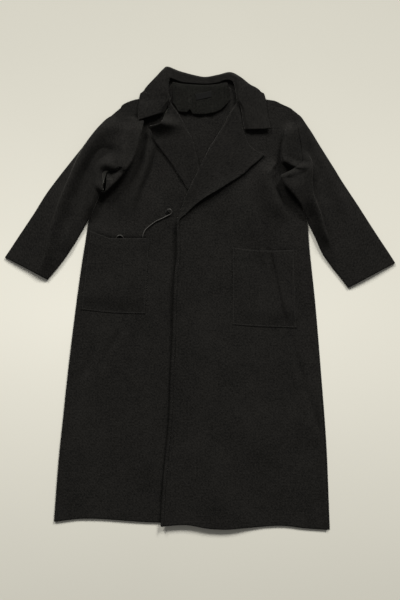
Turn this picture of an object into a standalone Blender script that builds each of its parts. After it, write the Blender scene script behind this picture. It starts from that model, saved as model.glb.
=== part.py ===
"""A long coat laid out flat on its back, face up.

+X is the viewer's right, +Y runs from hem to collar and +Z is up. The origin is under the middle of
the coat. The front on the viewer's right is the wearer's left front, and it laps over the other one.
Tables are in millimetres, everything else in metres.
"""
import math

import bmesh
import bpy
import numpy as np

MM = 0.001

# Cloth
CLOTH = 2.2 * MM
SEAM_GAP = 0.4 * MM
LAYER = CLOTH + SEAM_GAP
FACING_CLOTH = 1.4 * MM
POCKET_CLOTH = 2.0 * MM
POCKET_GAP = 0.9 * MM
LABEL_CLOTH = 0.6 * MM
ARMHOLE_GAP = 0.8 * MM
UNDERARM_GAP = 1.6 * MM

# Mesh steps across each piece
FRONT_STEPS = 14
ROLL_STEPS = 4
LAPEL_STEPS = 4
BACK_STEPS = 22
SLEEVE_STEPS = 9
POCKET_STEPS = 8
COLLAR_SUB = 2

# Edges: the narrow turned edge has this roll radius, the lapels a softer one
EDGE_ROLL = 1.5 * MM
LAPEL_ROLL = 3.6 * MM
LAPEL_CLEAR = 0.8 * MM
LAPEL_FROM = (190.0 * MM, 330.0 * MM)
LAPEL_TO = (505.0 * MM, 470.0 * MM)

# The under front's edge hides this far inside the over front before the upper one has come down to the back
LAP_CLEAR = 25.0 * MM
LAP_RAMP = 125.0 * MM

# Where the back neck is lifted over the collar's fall
NECK_LIFT_FROM = 300.0 * MM
NECK_LIFT_TO = 425.0 * MM
NECK_LIFT_INNER = 150.0 * MM
NECK_LIFT_OUTER = 250.0 * MM
FOLDS_END_FROM = 425.0 * MM
FOLDS_END_TO = 455.0 * MM
HEM_SHIFT_FROM = -350.0 * MM

# Cord and eyelet
CORD_DIAMETER = 2.8 * MM
CORD_SUB = 2
CORD_ROUND = 2
EYELET_HOLE = 2.3 * MM
EYELET_RIM = 1.1 * MM
EYELET_AT = (-84.0 * MM, 219.0 * MM)
EYELET_AROUND = 16
EYELET_SECTION = 6

# Left front, which lies on top: y, side edge, front edge or roll line, free edge of the turned part
OVER_ROWS = [
    (527, 100, 94, 98),
    (520, 108, 95, 99),
    (508, 145, 96, 100),
    (502, 189, 95, 100),
    (495, 204, 93, 99),
    (478, 236, 82, 101),
    (462, 240, 73, 104),
    (444, 245, 64, 107),
    (426, 250, 53, 110.5),
    (408, 254, 42, 116),
    (393, 257, 33, 122),
    (377, 258, 23, 138),
    (365, 259, 17, 164),
    (357, 259.5, 13, 157),
    (350, 258.5, 9, 149),
    (343, 255.5, 6, 141),
    (332, 246, 0, 127),
    (321, 230, -5, 117),
    (307, 208, -12, 98),
    (293, 214, -19, 76),
    (275, 230, -28, 48),
    (255, 247, -37, 14),
    (235, 260, -44, -13),
    (217, 266, -50, -32),
    (194, 272, -58, -53.5),
    (158, 275, -57, -52.5),
    (117, 278, -57, -52.5),
    (64, 283, -63, -58.5),
    (-5, 288, -66, -61.5),
    (-87, 294, -68, -63.5),
    (-184, 302, -73, -68.5),
    (-286, 309, -76, -71.5),
    (-388, 316, -85, -80.5),
    (-490, 320, -94, -89.5),
    (-581, 324, -99, -94.5),
]

# Right front, which lies under it: the same columns
UNDER_ROWS = [
    (527, -90, -84, -88),
    (520, -97, -84, -88.5),
    (509, -128, -81, -86),
    (505, -164, -79, -84),
    (484, -201, -67, -80),
    (469, -200, -56, -88),
    (454, -199, -48, -93),
    (441, -198, -40, -98),
    (434, -197.6, -37, -104),
    (428, -197.3, -34, -133),
    (421, -197, -30, -124),
    (403, -195.5, -21, -117),
    (377, -192, -13, -99.5),
    (352, -196, -6.5, -80),
    (337, -205, -3.5, -69),
    (324, -236, 0, -61),
    (311, -240.5, 4, -53),
    (293, -245, 10, -41),
    (270, -252.5, 17, -26.5),
    (255, -258.5, 21, -16),
    (222, -273, 28.5, 8),
    (194, -282.5, 33, 28.5),
    (158, -288, 33, 28.5),
    (117, -295, 33, 28.5),
    (36, -307, 33, 28.5),
    (-50, -318, 33, 28.5),
    (-168, -333, 33, 28.5),
    (-290, -346, 34, 29.5),
    (-413, -359, 35, 30.5),
    (-515, -367, 36, 31.5),
    (-569, -371, 36, 31.5),
]

# Hems: x, y
OVER_HEM = [
    (-99, -580), (-41, -576), (25, -586), (61, -588), (127, -584), (204, -579), (270, -586), (330, -590),
]
UNDER_HEM = [(-371, -569), (-291, -561), (-102, -571), (36, -571)]
BACK_HEM = [(-371, -567), (-291, -557), (0, -566), (204, -574), (301, -586), (330, -589)]

# Back: y, left edge, right edge; then the shoulder and neck line x, y
BACK_ROWS = [
    (470, -200, 236.5),
    (444, -198.5, 245),
    (408, -196, 254),
    (377, -192, 258),
    (350, -195.5, 258.5),
    (343, -197.5, 255.5),
    (332, -211, 246),
    (321, -236.5, 230),
    (307, -241, 208),
    (293, -245, 214),
    (275, -251, 230),
    (255, -258.5, 247),
    (235, -267.5, 260),
    (194, -282.5, 272),
    (117, -295, 279),
    (-5, -313, 292),
    (-184, -335, 307),
    (-388, -356, 322),
    (-567, -371, 330),
]
BACK_TOP = [
    (-201, 484), (-164, 504), (-128, 508), (-97, 519), (-77, 536), (-66, 550), (-45, 546), (15, 542.5),
    (45, 545), (64, 550), (77, 534), (108, 519), (145, 507), (189, 501), (204, 495), (236.5, 477),
]
BACK_TOP_STEPS = 4

# Sleeves: outer fold x, y; bend of the ring x, y; under edge x, y; puff of the top layer
SLEEVE_RIGHT = [
    (-202, 484, -195, 410, -201, 337, 2),
    (-224, 465, -222, 395, -223, 331, 6),
    (-252, 436, -244, 380, -246, 322, 9),
    (-280, 405, -265, 350, -249.5, 298, 8),
    (-306, 375, -282, 322, -255, 270, 6),
    (-331, 344, -298, 293, -265, 242, 5),
    (-362, 305, -320, 260, -278, 214, 5),
    (-393, 263, -345, 220, -297, 176, 5),
    (-423, 215, -370, 178, -318, 140, 4.5),
    (-459, 161, -402, 131, -344, 101, 3.5),
    (-482, 126, -424, 100, -366, 73, 2.8),
    (-497, 104, -442, 76, -388, 47, 2.2),
]
SLEEVE_LEFT = [
    (237, 478, 254, 410, 260, 350, 2),
    (248, 470, 294, 338, 261, 346, 3),
    (257, 462, 310, 320, 250, 334, 5),
    (270, 442, 318, 306, 232, 322, 8),
    (283, 423, 322, 300, 209, 307, 11),
    (296, 402, 322, 298, 215, 293, 11),
    (309, 381, 318, 300, 231, 275, 10),
    (326, 354, 312, 294, 248, 255, 8),
    (344, 326, 310, 280, 261, 235, 7),
    (358, 303, 316, 260, 267, 217, 6),
    (377, 274, 325, 235, 273.5, 194, 5),
    (403, 235, 347, 195, 292, 156, 5),
    (431, 191, 370, 154, 310, 116, 4.5),
    (459, 148, 397, 114, 335, 80, 3.5),
    (481, 115, 419, 83, 358, 51, 2.8),
    (497, 90, 437, 58, 377, 26, 2.2),
]
TOUCHING_Y = 190.0 * MM
SLEEVE_EDGE_SHARE = 0.014
SLEEVE_TOP_POWER = 0.6

# Pockets: mouth x, y and bottom x, y; height of the bag
POCKET_LEFT_MOUTH = [(82, 127.5), (160, 119.5), (182, 119.5), (239, 121)]
POCKET_LEFT_BASE = [(82, -68), (150, -73), (246, -76.5)]
POCKET_LEFT_BAG = 2.5 * MM
POCKET_RIGHT_MOUTH = [(-280, 170), (-237, 154), (-229, 151), (-128.5, 151)]
POCKET_RIGHT_BASE = [(-303, -30), (-205, -39), (-139.5, -40.5)]
POCKET_RIGHT_BAG = 5.0 * MM
BAG_RISE_SHARE = 0.3

# Collar stations from the wearer's right end round the back: neck edge x, y, z; roll x, y, z;
# outer fold x, y, z with its half height; free edge x, y, z
COLLAR = [
    (-92, 471, 13, -104, 467, 18.5, -136, 457, 21, 0, -154, 451.5, 19),
    (-84, 487, 12.5, -94, 487, 17.5, -136, 483, 18, 0, -157, 479, 15.5),
    (-76, 505, 14.2, -82, 505, 17, -134, 503, 13.5, 0, -154, 501, 11),
    (-78, 516, 13, -84, 520, 17.5, -138, 523, 12, 0, -152, 517, 9.4),
    (-79, 524, 12.8, -86, 530, 17.3, -139, 531, 9, 2.5, -147, 520, 3.6),
    (-80, 532, 12.6, -88, 540, 17, -130, 543, 6.2, 4.9, -127, 514, 1.3),
    (-80, 549, 11.5, -89, 560, 16, -111, 563, 6, 4.8, -104, 508, 1.1),
    (-76, 559, 10, -87, 578, 13, -94, 581, 5.8, 4.6, -84, 509, 1.1),
    (-63, 555, 8.2, -79, 583, 9.5, -82, 588, 5, 3.6, -66, 509, 1.1),
    (-45, 549, 7.2, -52, 571, 8, -53, 577, 4.4, 3.2, -45, 507, 1.1),
    (-10, 546, 7, -12, 561, 7.4, -12, 566, 4.2, 3, -10, 500, 1.1),
    (15, 545, 7, 15, 557, 7.4, 15, 562, 4.2, 3, 15, 497, 1.1),
    (45, 548, 7, 47, 563, 7.4, 48, 568, 4.2, 3, 46, 499, 1.1),
    (65, 555, 8, 73, 569, 9, 77, 574, 4.7, 3.5, 72, 505, 1.1),
    (82, 551, 10.5, 93, 560, 13, 102, 562, 5.9, 4.7, 88, 505, 1.1),
    (88, 539, 12, 98, 545, 16, 126, 543, 6.1, 4.9, 112, 506, 1.1),
    (91, 526, 13, 100, 530, 17, 141, 535, 6.2, 4.9, 139, 517, 1.3),
    (92, 519, 13, 100, 522, 17.3, 151, 527, 9, 2.5, 157, 521, 3.6),
    (93, 512, 13, 100, 513, 17.5, 150, 519, 12, 0, 163, 517, 9.4),
    (95, 502, 14.2, 102, 499, 17, 150, 498, 13, 0, 167, 498, 10.8),
    (105, 480, 12.6, 114, 478, 15.5, 154, 471, 13.5, 0, 170, 468, 11.5),
    (110, 447, 11.8, 119, 446, 14.5, 159, 445, 15, 0, 175, 446, 13),
    (113.5, 428, 11.5, 124, 428, 14.5, 162, 429, 16, 0, 178, 431, 14.5),
]
COLLAR_FOLD_REACH = 4.0 * MM

# Facing inside the back neck: upper edge x, y and lower edge x, y
FACING_TOP = [(-70, 549), (-45, 544.5), (15, 541), (45, 543.5), (70, 547)]
FACING_BASE = [
    (-69, 496), (-62, 487), (-53, 474), (-33, 472), (-26, 479), (-18, 468), (0, 467), (25, 469), (51, 478),
    (66, 491), (77, 505),
]
FACING_STEPS = (24, 5)

# Plain label: middle, size and turn in degrees
LABEL_AT = (9.0 * MM, 514.0 * MM)
LABEL_SIZE = (40.0 * MM, 15.0 * MM)
LABEL_TURN = 12.0
LABEL_STEPS = (4, 2)

# Cord on the right front: x, y, height of its lower side over the cloth
CORD = [
    (-84, 219, 0.9), (-82.6, 223.2, 3.9), (-79, 225.4, 5.0), (-74.8, 224.5, 4.8), (-72, 221.2, 3.9),
    (-72, 216.8, 2.8), (-74.9, 213.4, 1.8), (-82, 209.6, 1.0), (-90, 205.5, 0.6), (-98, 201.5, 0.5),
    (-112, 195, 0.5), (-122, 188, 0.5), (-131, 181, 0.5), (-137.5, 175, 0.5),
    (-142, 168, 0.5), (-145, 160, 0.5), (-146, 151, 0.5), (-148, 139, 0.5), (-153, 125, 0.5),
    (-163, 114, 0.5), (-176, 109, 0.5), (-190, 109, 0.5), (-202, 116, 0.5), (-210, 128, 0.5),
    (-213, 142, 0.5), (-213, 151, 0.5), (-209.5, 157, 0.5), (-203.5, 159.5, 0.5), (-197.5, 157, 0.5),
    (-194, 150, 0.5), (-191, 140, 0.5), (-187, 130, 0.5),
]

# Large folds: start x, y, end x, y, bow to the left of the run, rise, width left, width right
FOLDS = [
    (-156, 456, -256, 262, 27, 13, 12, 46),
    (-128, 420, -200, 240, 10, 5, 20, 22),
    (224, 442, 218, 340, -4, 9, 34, 13),
    (192, 322, 182, 150, 4, 7, 26, 60),
    (-226, 446, -396, 82, -27, 9, 20, 24),
    (270, 368, 328, 135, 8, 8, 18, 28),
    (-195, -60, -262, -230, 0, 3, 30, 34),
    (-285, -150, -318, -430, 0, 3, 30, 30),
    (-130, -130, -134, -400, 0, 2.5, 30, 30),
    (12, -110, 12, -420, 0, 2.5, 38, 38),
    (232, -90, 300, -420, 6, 4, 30, 34),
    (138, -160, 158, -420, 0, 2.5, 36, 36),
]
FOLD_END_SHARE = 0.3


def column(rows, key, value):
    """Two columns of a table in metres, sorted by the first."""
    data = np.array(rows, dtype=float)
    order = np.argsort(data[:, key])
    return data[order, key] * MM, data[order, value] * MM


def look_up(rows, key, value, at):
    """Value column of a table at the given places of its key column, straight between rows."""
    keys, values = column(rows, key, value)
    return np.interp(at, keys, values)


def ramp(x, start, end):
    """Smooth step from 0 at start to 1 at end."""
    t = np.clip((x - start) / (end - start), 0.0, 1.0)
    return t * t * (3.0 - 2.0 * t)


def fold_height(x, y):
    """Sum of the soft ridges, each with its own width on the two sides of its run."""
    total = np.zeros(np.broadcast(x, y).shape)
    for x0, y0, x1, y1, bow, rise, left, right in FOLDS:
        run = np.array([x1 - x0, y1 - y0]) * MM
        length = np.hypot(run[0], run[1])
        along = ((x - x0 * MM) * run[0] + (y - y0 * MM) * run[1]) / length**2
        side = ((y - y0 * MM) * run[0] - (x - x0 * MM) * run[1]) / length
        inside = np.clip(along, 0.0, 1.0)
        off = side - bow * MM * 4.0 * inside * (1.0 - inside)
        width = np.where(off > 0.0, left, right) * MM
        start = ramp(along, -FOLD_END_SHARE, FOLD_END_SHARE)
        end = ramp(along, 1.0 + FOLD_END_SHARE, 1.0 - FOLD_END_SHARE)
        total = total + rise * MM * start * end * np.exp(-((off / width) ** 2))
    return total * (1.0 - ramp(y, FOLDS_END_FROM, FOLDS_END_TO))


def neck_lift(x, y):
    """Height by which the layers ride over the collar's fall at the back neck."""
    return LAYER * ramp(y, NECK_LIFT_FROM, NECK_LIFT_TO) * ramp(np.abs(x), NECK_LIFT_OUTER, NECK_LIFT_INNER)


def back_mid(x, y):
    """Middle of the back's cloth."""
    return CLOTH / 2.0 + neck_lift(x, y)


def under_mid(x, y):
    """Middle of the cloth of the right front, on the back."""
    return back_mid(x, y) + LAYER + fold_height(x, y)


def roll_radius(y):
    """Radius of the turned edge: small along the front edge, soft along the lapel."""
    return EDGE_ROLL + (LAPEL_ROLL - EDGE_ROLL) * ramp(y, *LAPEL_FROM) * ramp(y, *LAPEL_TO)


def over_mid(x, y):
    """Middle of the cloth of the left front, on the right front and then on the back."""
    hidden_edge = look_up(UNDER_ROWS, 0, 2, y)
    covered = ramp(x, hidden_edge + LAP_RAMP, hidden_edge + LAP_CLEAR)
    return under_mid(x, y) + covered * (2.0 * roll_radius(y) + LAYER + LAPEL_CLEAR)


def solid(name, points, faces, colour, roughness):
    """One closed object with its own material."""
    mesh = bpy.data.meshes.new(name)
    mesh.from_pydata([tuple(p) for p in points], [], faces)
    work = bmesh.new()
    work.from_mesh(mesh)
    bmesh.ops.recalc_face_normals(work, faces=work.faces)
    bmesh.ops.triangulate(work, faces=work.faces)
    work.to_mesh(mesh)
    work.free()
    material = bpy.data.materials.new(name + "_cloth")
    material.use_nodes = True
    shader = material.node_tree.nodes["Principled BSDF"]
    shader.inputs["Base Color"].default_value = colour
    shader.inputs["Roughness"].default_value = roughness
    mesh.materials.append(material)
    body = bpy.data.objects.new(name, mesh)
    bpy.context.collection.objects.link(body)
    return body


WOOL = (0.02, 0.019, 0.017, 1.0)
WOOL_ROUGHNESS = 0.9
CORD_COLOUR = (0.035, 0.034, 0.031, 1.0)
CORD_ROUGHNESS = 0.55


def wall(name, face, other, colour=WOOL, roughness=WOOL_ROUGHNESS):
    """Closed wall between two grids of points of one shape."""
    rows, cols = face.shape[:2]
    index = np.arange(rows * cols).reshape(rows, cols)
    shift = rows * cols
    faces = []
    for i in range(rows - 1):
        for j in range(cols - 1):
            quad = (index[i, j], index[i, j + 1], index[i + 1, j + 1], index[i + 1, j])
            faces.append(tuple(int(k) for k in quad))
            faces.append(tuple(int(k) + shift for k in reversed(quad)))
    rim = list(index[0, :-1]) + list(index[:-1, -1]) + list(index[-1, :0:-1]) + list(index[:0:-1, 0])
    for a, b in zip(rim, rim[1:] + rim[:1]):
        faces.append((int(b), int(a), int(a) + shift, int(b) + shift))
    points = np.concatenate([face.reshape(-1, 3), other.reshape(-1, 3)])
    return solid(name, points, faces, colour, roughness)


def tube(name, outer, inner):
    """Closed wall of a tube between two stacks of rings, open at both ends."""
    rows, cols = outer.shape[:2]
    index = np.arange(rows * cols).reshape(rows, cols)
    shift = rows * cols
    faces = []
    for j in range(cols):
        k = (j + 1) % cols
        for i in range(rows - 1):
            quad = (index[i, j], index[i, k], index[i + 1, k], index[i + 1, j])
            faces.append(tuple(int(q) for q in quad))
            faces.append(tuple(int(q) + shift for q in reversed(quad)))
        for i in (0, rows - 1):
            a, b = int(index[i, j]), int(index[i, k])
            faces.append((a, b, b + shift, a + shift))
    points = np.concatenate([outer.reshape(-1, 3), inner.reshape(-1, 3)])
    return solid(name, points, faces, WOOL, WOOL_ROUGHNESS)


def with_height(x, y, z):
    """Grid of points from plan grids and heights."""
    return np.stack([x, y, z], axis=-1)


def front(name, rows, hem, mid, side):
    """A front: from the side seam to its edge, round the roll and back as lapel or narrow turned edge.

    side is +1 when the panel lies to the right of its edge and -1 when it lies to the left.
    """
    table = np.array(rows, dtype=float) * MM
    y, outer, edge, turn = table.T[:, :, None]
    radius = roll_radius(y)
    centre = edge + side * radius
    share = np.linspace(0.0, 1.0, FRONT_STEPS + 1)[None, :]
    angle = np.linspace(-0.5 * math.pi, 0.5 * math.pi, ROLL_STEPS + 1)[None, 1:-1]
    turned = np.linspace(0.0, 1.0, LAPEL_STEPS + 1)[None, :]

    flat_x = outer + (centre - outer) * share
    lapel_x = centre + (turn - centre) * turned
    hem_start = y.min()
    drop = ramp(y, HEM_SHIFT_FROM, hem_start)

    def shifted(x):
        return y + drop * (look_up(hem, 0, 1, x) - hem_start)

    flat_z = mid(flat_x, shifted(flat_x))
    base = mid(centre, shifted(centre))
    spring = (1.0 - turned) ** 2
    lapel_z = mid(lapel_x, shifted(lapel_x)) + LAYER + LAPEL_CLEAR * (1.0 - spring)
    lapel_z = lapel_z + (2.0 * radius - LAYER) * spring

    def layer(sign):
        """One side of the cloth: sign +1 is the upper side of the panel and the under side of the lapel."""
        half = sign * CLOTH / 2.0
        bend = radius - half
        roll_x = centre - side * bend * np.cos(angle)
        roll_z = base + radius + bend * np.sin(angle)
        x = np.concatenate([flat_x, roll_x, lapel_x], axis=1)
        z = np.concatenate([flat_z + half, roll_z, lapel_z - half], axis=1)
        return with_height(x, shifted(x), z)

    return wall(name, layer(1.0), layer(-1.0))


def back():
    """The back: one flat sheet under everything, with its shoulders and neck line."""
    table = np.array(BACK_ROWS, dtype=float) * MM
    y, left, right = table.T[:, :, None]
    share = np.linspace(0.0, 1.0, BACK_STEPS + 1)[None, :]
    x = left + (right - left) * share
    hem_start = y.min()
    y = y + ramp(y, HEM_SHIFT_FROM, hem_start) * (look_up(BACK_HEM, 0, 1, x) - hem_start)
    top_share = np.linspace(1.0, 0.0, BACK_TOP_STEPS + 1)[:-1, None]
    top_x = np.repeat(x[:1], BACK_TOP_STEPS, axis=0)
    top_y = y[:1] + top_share * (look_up(BACK_TOP, 0, 1, top_x) - y[:1])
    x = np.concatenate([top_x, x])
    y = np.concatenate([top_y, y])
    z = back_mid(x, y)
    return wall("back", with_height(x, y, z + CLOTH / 2.0), with_height(x, y, z - CLOTH / 2.0))


def sleeve(name, rings, front_rows, side):
    """A sleeve: rings from the armhole to the cuff, flattened on the surface, each bent in plan."""
    table = np.array(rings, dtype=float) * MM
    ox, oy, cx, cy, ux, uy, puff = table.T[:, :, None]
    touching = side * look_up(front_rows, 0, 1, uy) + UNDERARM_GAP
    ux = np.where(uy > TOUCHING_Y, side * np.maximum(side * ux, touching), ux)
    length = np.hypot(ox - ux, oy - uy)

    def plan(t):
        x = (1.0 - t) ** 2 * ox + 2.0 * t * (1.0 - t) * cx + t**2 * ux
        y = (1.0 - t) ** 2 * oy + 2.0 * t * (1.0 - t) * cy + t**2 * uy
        seam = side * (side * look_up(front_rows, 0, 1, y[0]) + ARMHOLE_GAP)
        x[0] = seam
        return x, y

    def loop(inset):
        """One ring: over the top from the outer fold, round the under edge and back along the surface."""
        first = SLEEVE_EDGE_SHARE + inset / length
        t = first + (1.0 - 2.0 * first) * np.linspace(0.0, 1.0, SLEEVE_STEPS + 1)[None, :]
        x, y = plan(t)
        rise = puff * (4.0 * t * (1.0 - t)) ** SLEEVE_TOP_POWER
        top = 2.0 * CLOTH + SEAM_GAP + neck_lift(x, y) + fold_height(x, y) + rise - inset
        bottom = neck_lift(x, y) + inset
        start = inset / length
        edge_x, edge_y = plan(np.concatenate([start, 1.0 - start], axis=1))
        edge_z = CLOTH + SEAM_GAP / 2.0 + neck_lift(edge_x, edge_y)
        ring_x = np.concatenate([edge_x[:, :1], x, edge_x[:, 1:], x[:, ::-1]], axis=1)
        ring_y = np.concatenate([edge_y[:, :1], y, edge_y[:, 1:], y[:, ::-1]], axis=1)
        ring_z = np.concatenate([edge_z[:, :1], top, edge_z[:, 1:], bottom[:, ::-1]], axis=1)
        return with_height(ring_x, ring_y, ring_z)

    return tube(name, loop(0.0), loop(CLOTH))


def pocket(name, mouth, base, bag, mid):
    """A patch pocket on its front: sewn at the sides and the bottom, lifted a little toward the mouth."""
    u = np.linspace(0.0, 1.0, POCKET_STEPS + 1)[None, :]
    v = np.linspace(0.0, 1.0, POCKET_STEPS + 1)[:, None]

    def along(rows):
        x, y = np.array(rows, dtype=float).T * MM
        at = x[0] + (x[-1] - x[0]) * u
        return at, np.interp(at, x, y)

    mouth_x, mouth_y = along(mouth)
    base_x, base_y = along(base)
    x = base_x + (mouth_x - base_x) * v
    y = base_y + (mouth_y - base_y) * v
    lift = bag * np.sqrt(4.0 * u * (1.0 - u)) * ramp(v, 0.0, BAG_RISE_SHARE)
    z = mid(x, y) + CLOTH / 2.0 + POCKET_GAP + POCKET_CLOTH / 2.0 + lift
    half = POCKET_CLOTH / 2.0
    return wall(name, with_height(x, y, z + half), with_height(x, y, z - half))


def smooth_rows(rows, steps):
    """Catmull-Rom curve through the rows of a table, with the given number of steps between rows."""
    padded = np.concatenate([2.0 * rows[:1] - rows[1:2], rows, 2.0 * rows[-1:] - rows[-2:-1]])
    pieces = []
    for k in range(len(rows) - 1):
        a, b, c, d = padded[k : k + 4]
        for t in np.arange(steps) / steps:
            square = (2.0 * a - 5.0 * b + 4.0 * c - d) * t**2
            cube = (3.0 * b - a - 3.0 * c + d) * t**3
            pieces.append(0.5 * (2.0 * b + (c - a) * t + square + cube))
    pieces.append(rows[-1])
    return np.array(pieces)


def unit(v):
    """Vectors of length one."""
    return v / np.linalg.norm(v, axis=-1, keepdims=True)


def collar():
    """The collar: stand from the neck edge to the roll, then the fall, which folds under at its outer fold.

    At the ends the half height of the fold is zero and the fall stays on top of the fronts.
    """
    table = smooth_rows(np.array(COLLAR, dtype=float) * MM, COLLAR_SUB)
    neck = table[:, 0:3]
    roll = table[:, 3:6]
    fold = table[:, 6:9]
    half = np.maximum(table[:, 9:10], 0.0)
    edge = table[:, 10:13]
    up = np.array([[0.0, 0.0, 1.0]])
    upper = fold + COLLAR_FOLD_REACH * unit((roll - fold) * [1, 1, 0]) + half * up
    lower = fold + COLLAR_FOLD_REACH * unit((edge - fold) * [1, 1, 0]) - half * up
    stops = [neck, 0.5 * (neck + roll), roll, 0.5 * (roll + upper), upper, fold, lower]
    stops += [lower + (edge - lower) * share for share in (1.0 / 3.0, 2.0 / 3.0, 1.0)]
    middle = np.stack(stops, axis=1)
    middle[..., 2] = np.maximum(middle[..., 2], CLOTH / 2.0)
    down = np.gradient(middle, axis=0)
    across = np.gradient(middle, axis=1)
    normal = unit(np.cross(across, down))
    face = middle + normal * CLOTH / 2.0
    other = middle - normal * CLOTH / 2.0
    face[..., 2] = np.maximum(face[..., 2], 0.0)
    other[..., 2] = np.maximum(other[..., 2], 0.0)
    return wall("collar", face, other)


def neck_facing():
    """The facing inside the back neck, on the back."""
    across, deep = FACING_STEPS
    u = np.linspace(0.0, 1.0, across + 1)[None, :]
    v = np.linspace(0.0, 1.0, deep + 1)[:, None]

    def along(rows):
        x, y = np.array(rows, dtype=float).T * MM
        at = x[0] + (x[-1] - x[0]) * u
        return at, np.interp(at, x, y)

    top_x, top_y = along(FACING_TOP)
    base_x, base_y = along(FACING_BASE)
    x = base_x + (top_x - base_x) * v
    y = base_y + (top_y - base_y) * v
    z = facing_mid(x, y)
    half = FACING_CLOTH / 2.0
    return wall("neck_facing", with_height(x, y, z + half), with_height(x, y, z - half))


def facing_mid(x, y):
    """Middle of the facing's cloth, on the back."""
    return back_mid(x, y) + CLOTH / 2.0 + SEAM_GAP + FACING_CLOTH / 2.0


def label():
    """A plain rectangular label on the facing."""
    turn = math.radians(LABEL_TURN)
    u = np.linspace(-0.5, 0.5, LABEL_STEPS[0] + 1)[None, :] * LABEL_SIZE[0]
    v = np.linspace(-0.5, 0.5, LABEL_STEPS[1] + 1)[:, None] * LABEL_SIZE[1]
    x = LABEL_AT[0] + u * math.cos(turn) - v * math.sin(turn)
    y = LABEL_AT[1] + u * math.sin(turn) + v * math.cos(turn)
    half = LABEL_CLOTH / 2.0
    z = facing_mid(x, y) + FACING_CLOTH / 2.0 + SEAM_GAP + half
    return wall("label", with_height(x, y, z + half), with_height(x, y, z - half))


def front_top(x, y):
    """Upper side of the right front's cloth."""
    return under_mid(x, y) + CLOTH / 2.0


def eyelet():
    """A worked eyelet: a small ring on the right front."""
    around = np.linspace(0.0, 2.0 * math.pi, EYELET_AROUND, endpoint=False)[:, None]
    section = np.linspace(0.0, 2.0 * math.pi, EYELET_SECTION, endpoint=False)[None, :]
    reach = EYELET_HOLE + EYELET_RIM + EYELET_RIM * np.cos(section)
    x = EYELET_AT[0] + reach * np.cos(around)
    y = EYELET_AT[1] + reach * np.sin(around)
    z = front_top(x, y).max() + SEAM_GAP + EYELET_RIM + EYELET_RIM * np.sin(section) + 0.0 * around
    points = with_height(x, y, z).reshape(-1, 3)
    faces = []
    for i in range(EYELET_AROUND):
        k = (i + 1) % EYELET_AROUND
        for j in range(EYELET_SECTION):
            m = (j + 1) % EYELET_SECTION
            corner = [(i, j), (k, j), (k, m), (i, m)]
            faces.append(tuple(a * EYELET_SECTION + b for a, b in corner))
    return solid("eyelet", points, faces, WOOL, WOOL_ROUGHNESS)


def tie_cord():
    """The cord: out of the eyelet, across the front into the pocket, a loop over the mouth and back in."""
    path = smooth_rows(np.array(CORD, dtype=float) * MM, CORD_SUB)
    x, y, over = path.T
    z = front_top(x, y) + over + CORD_DIAMETER / 2.0
    curve = bpy.data.curves.new("tie_cord", "CURVE")
    curve.dimensions = "3D"
    curve.bevel_depth = CORD_DIAMETER / 2.0
    curve.bevel_resolution = CORD_ROUND
    curve.use_fill_caps = True
    line = curve.splines.new("POLY")
    line.points.add(len(path) - 1)
    for point, place in zip(line.points, zip(x, y, z)):
        point.co = (*place, 1.0)
    material = bpy.data.materials.new("tie_cord_braid")
    material.use_nodes = True
    shader = material.node_tree.nodes["Principled BSDF"]
    shader.inputs["Base Color"].default_value = CORD_COLOUR
    shader.inputs["Roughness"].default_value = CORD_ROUGHNESS
    curve.materials.append(material)
    bpy.context.collection.objects.link(bpy.data.objects.new("tie_cord", curve))


def main():
    for old in list(bpy.data.objects):
        bpy.data.objects.remove(old)
    back()
    front("front_right", UNDER_ROWS, UNDER_HEM, under_mid, -1.0)
    front("front_left", OVER_ROWS, OVER_HEM, over_mid, 1.0)
    sleeve("sleeve_right", SLEEVE_RIGHT, UNDER_ROWS, -1.0)
    sleeve("sleeve_left", SLEEVE_LEFT, OVER_ROWS, 1.0)
    pocket("pocket_right", POCKET_RIGHT_MOUTH, POCKET_RIGHT_BASE, POCKET_RIGHT_BAG, under_mid)
    pocket("pocket_left", POCKET_LEFT_MOUTH, POCKET_LEFT_BASE, POCKET_LEFT_BAG, over_mid)
    collar()
    neck_facing()
    label()
    eyelet()
    tie_cord()


main()
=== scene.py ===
"""Looks of a long dark wool coat that lies on its back on a pale floor, seen from straight above.

Each cloth piece is a grid of points in the middle of its cloth, which gets a wall with round edges.
+X is the viewer's right, +Y runs from hem to collar and +Z is up. The front on the viewer's right is the
wearer's left front, and it laps over the other one. Tables are in millimetres, everything else in metres.
"""
import math

import bpy
import numpy as np
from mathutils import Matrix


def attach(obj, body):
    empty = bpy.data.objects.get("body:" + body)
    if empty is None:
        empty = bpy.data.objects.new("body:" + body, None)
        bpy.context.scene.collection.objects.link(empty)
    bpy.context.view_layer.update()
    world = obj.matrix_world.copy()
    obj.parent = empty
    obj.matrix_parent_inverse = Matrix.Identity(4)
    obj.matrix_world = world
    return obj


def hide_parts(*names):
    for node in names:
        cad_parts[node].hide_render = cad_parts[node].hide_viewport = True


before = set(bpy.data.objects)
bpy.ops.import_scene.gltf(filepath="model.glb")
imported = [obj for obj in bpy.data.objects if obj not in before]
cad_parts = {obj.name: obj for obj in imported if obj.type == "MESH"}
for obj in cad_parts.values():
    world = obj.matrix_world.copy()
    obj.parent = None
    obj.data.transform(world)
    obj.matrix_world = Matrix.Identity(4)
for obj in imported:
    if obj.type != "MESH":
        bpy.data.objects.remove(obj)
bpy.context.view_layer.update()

MM = 0.001

# Walls of the cloth, the gaps between pieces, and how far a wall's round rim bulges, as a share of the wall
CLOTH = 2.2 * MM
FACING_CLOTH = 1.4 * MM
LABEL_CLOTH = 0.6 * MM
SEAM_GAP = 0.4 * MM
LAYER = CLOTH + SEAM_GAP
ARMHOLE_GAP = 0.5 * MM
UNDERARM_GAP = 1.6 * MM
RIM_SHARE = 0.42

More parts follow.
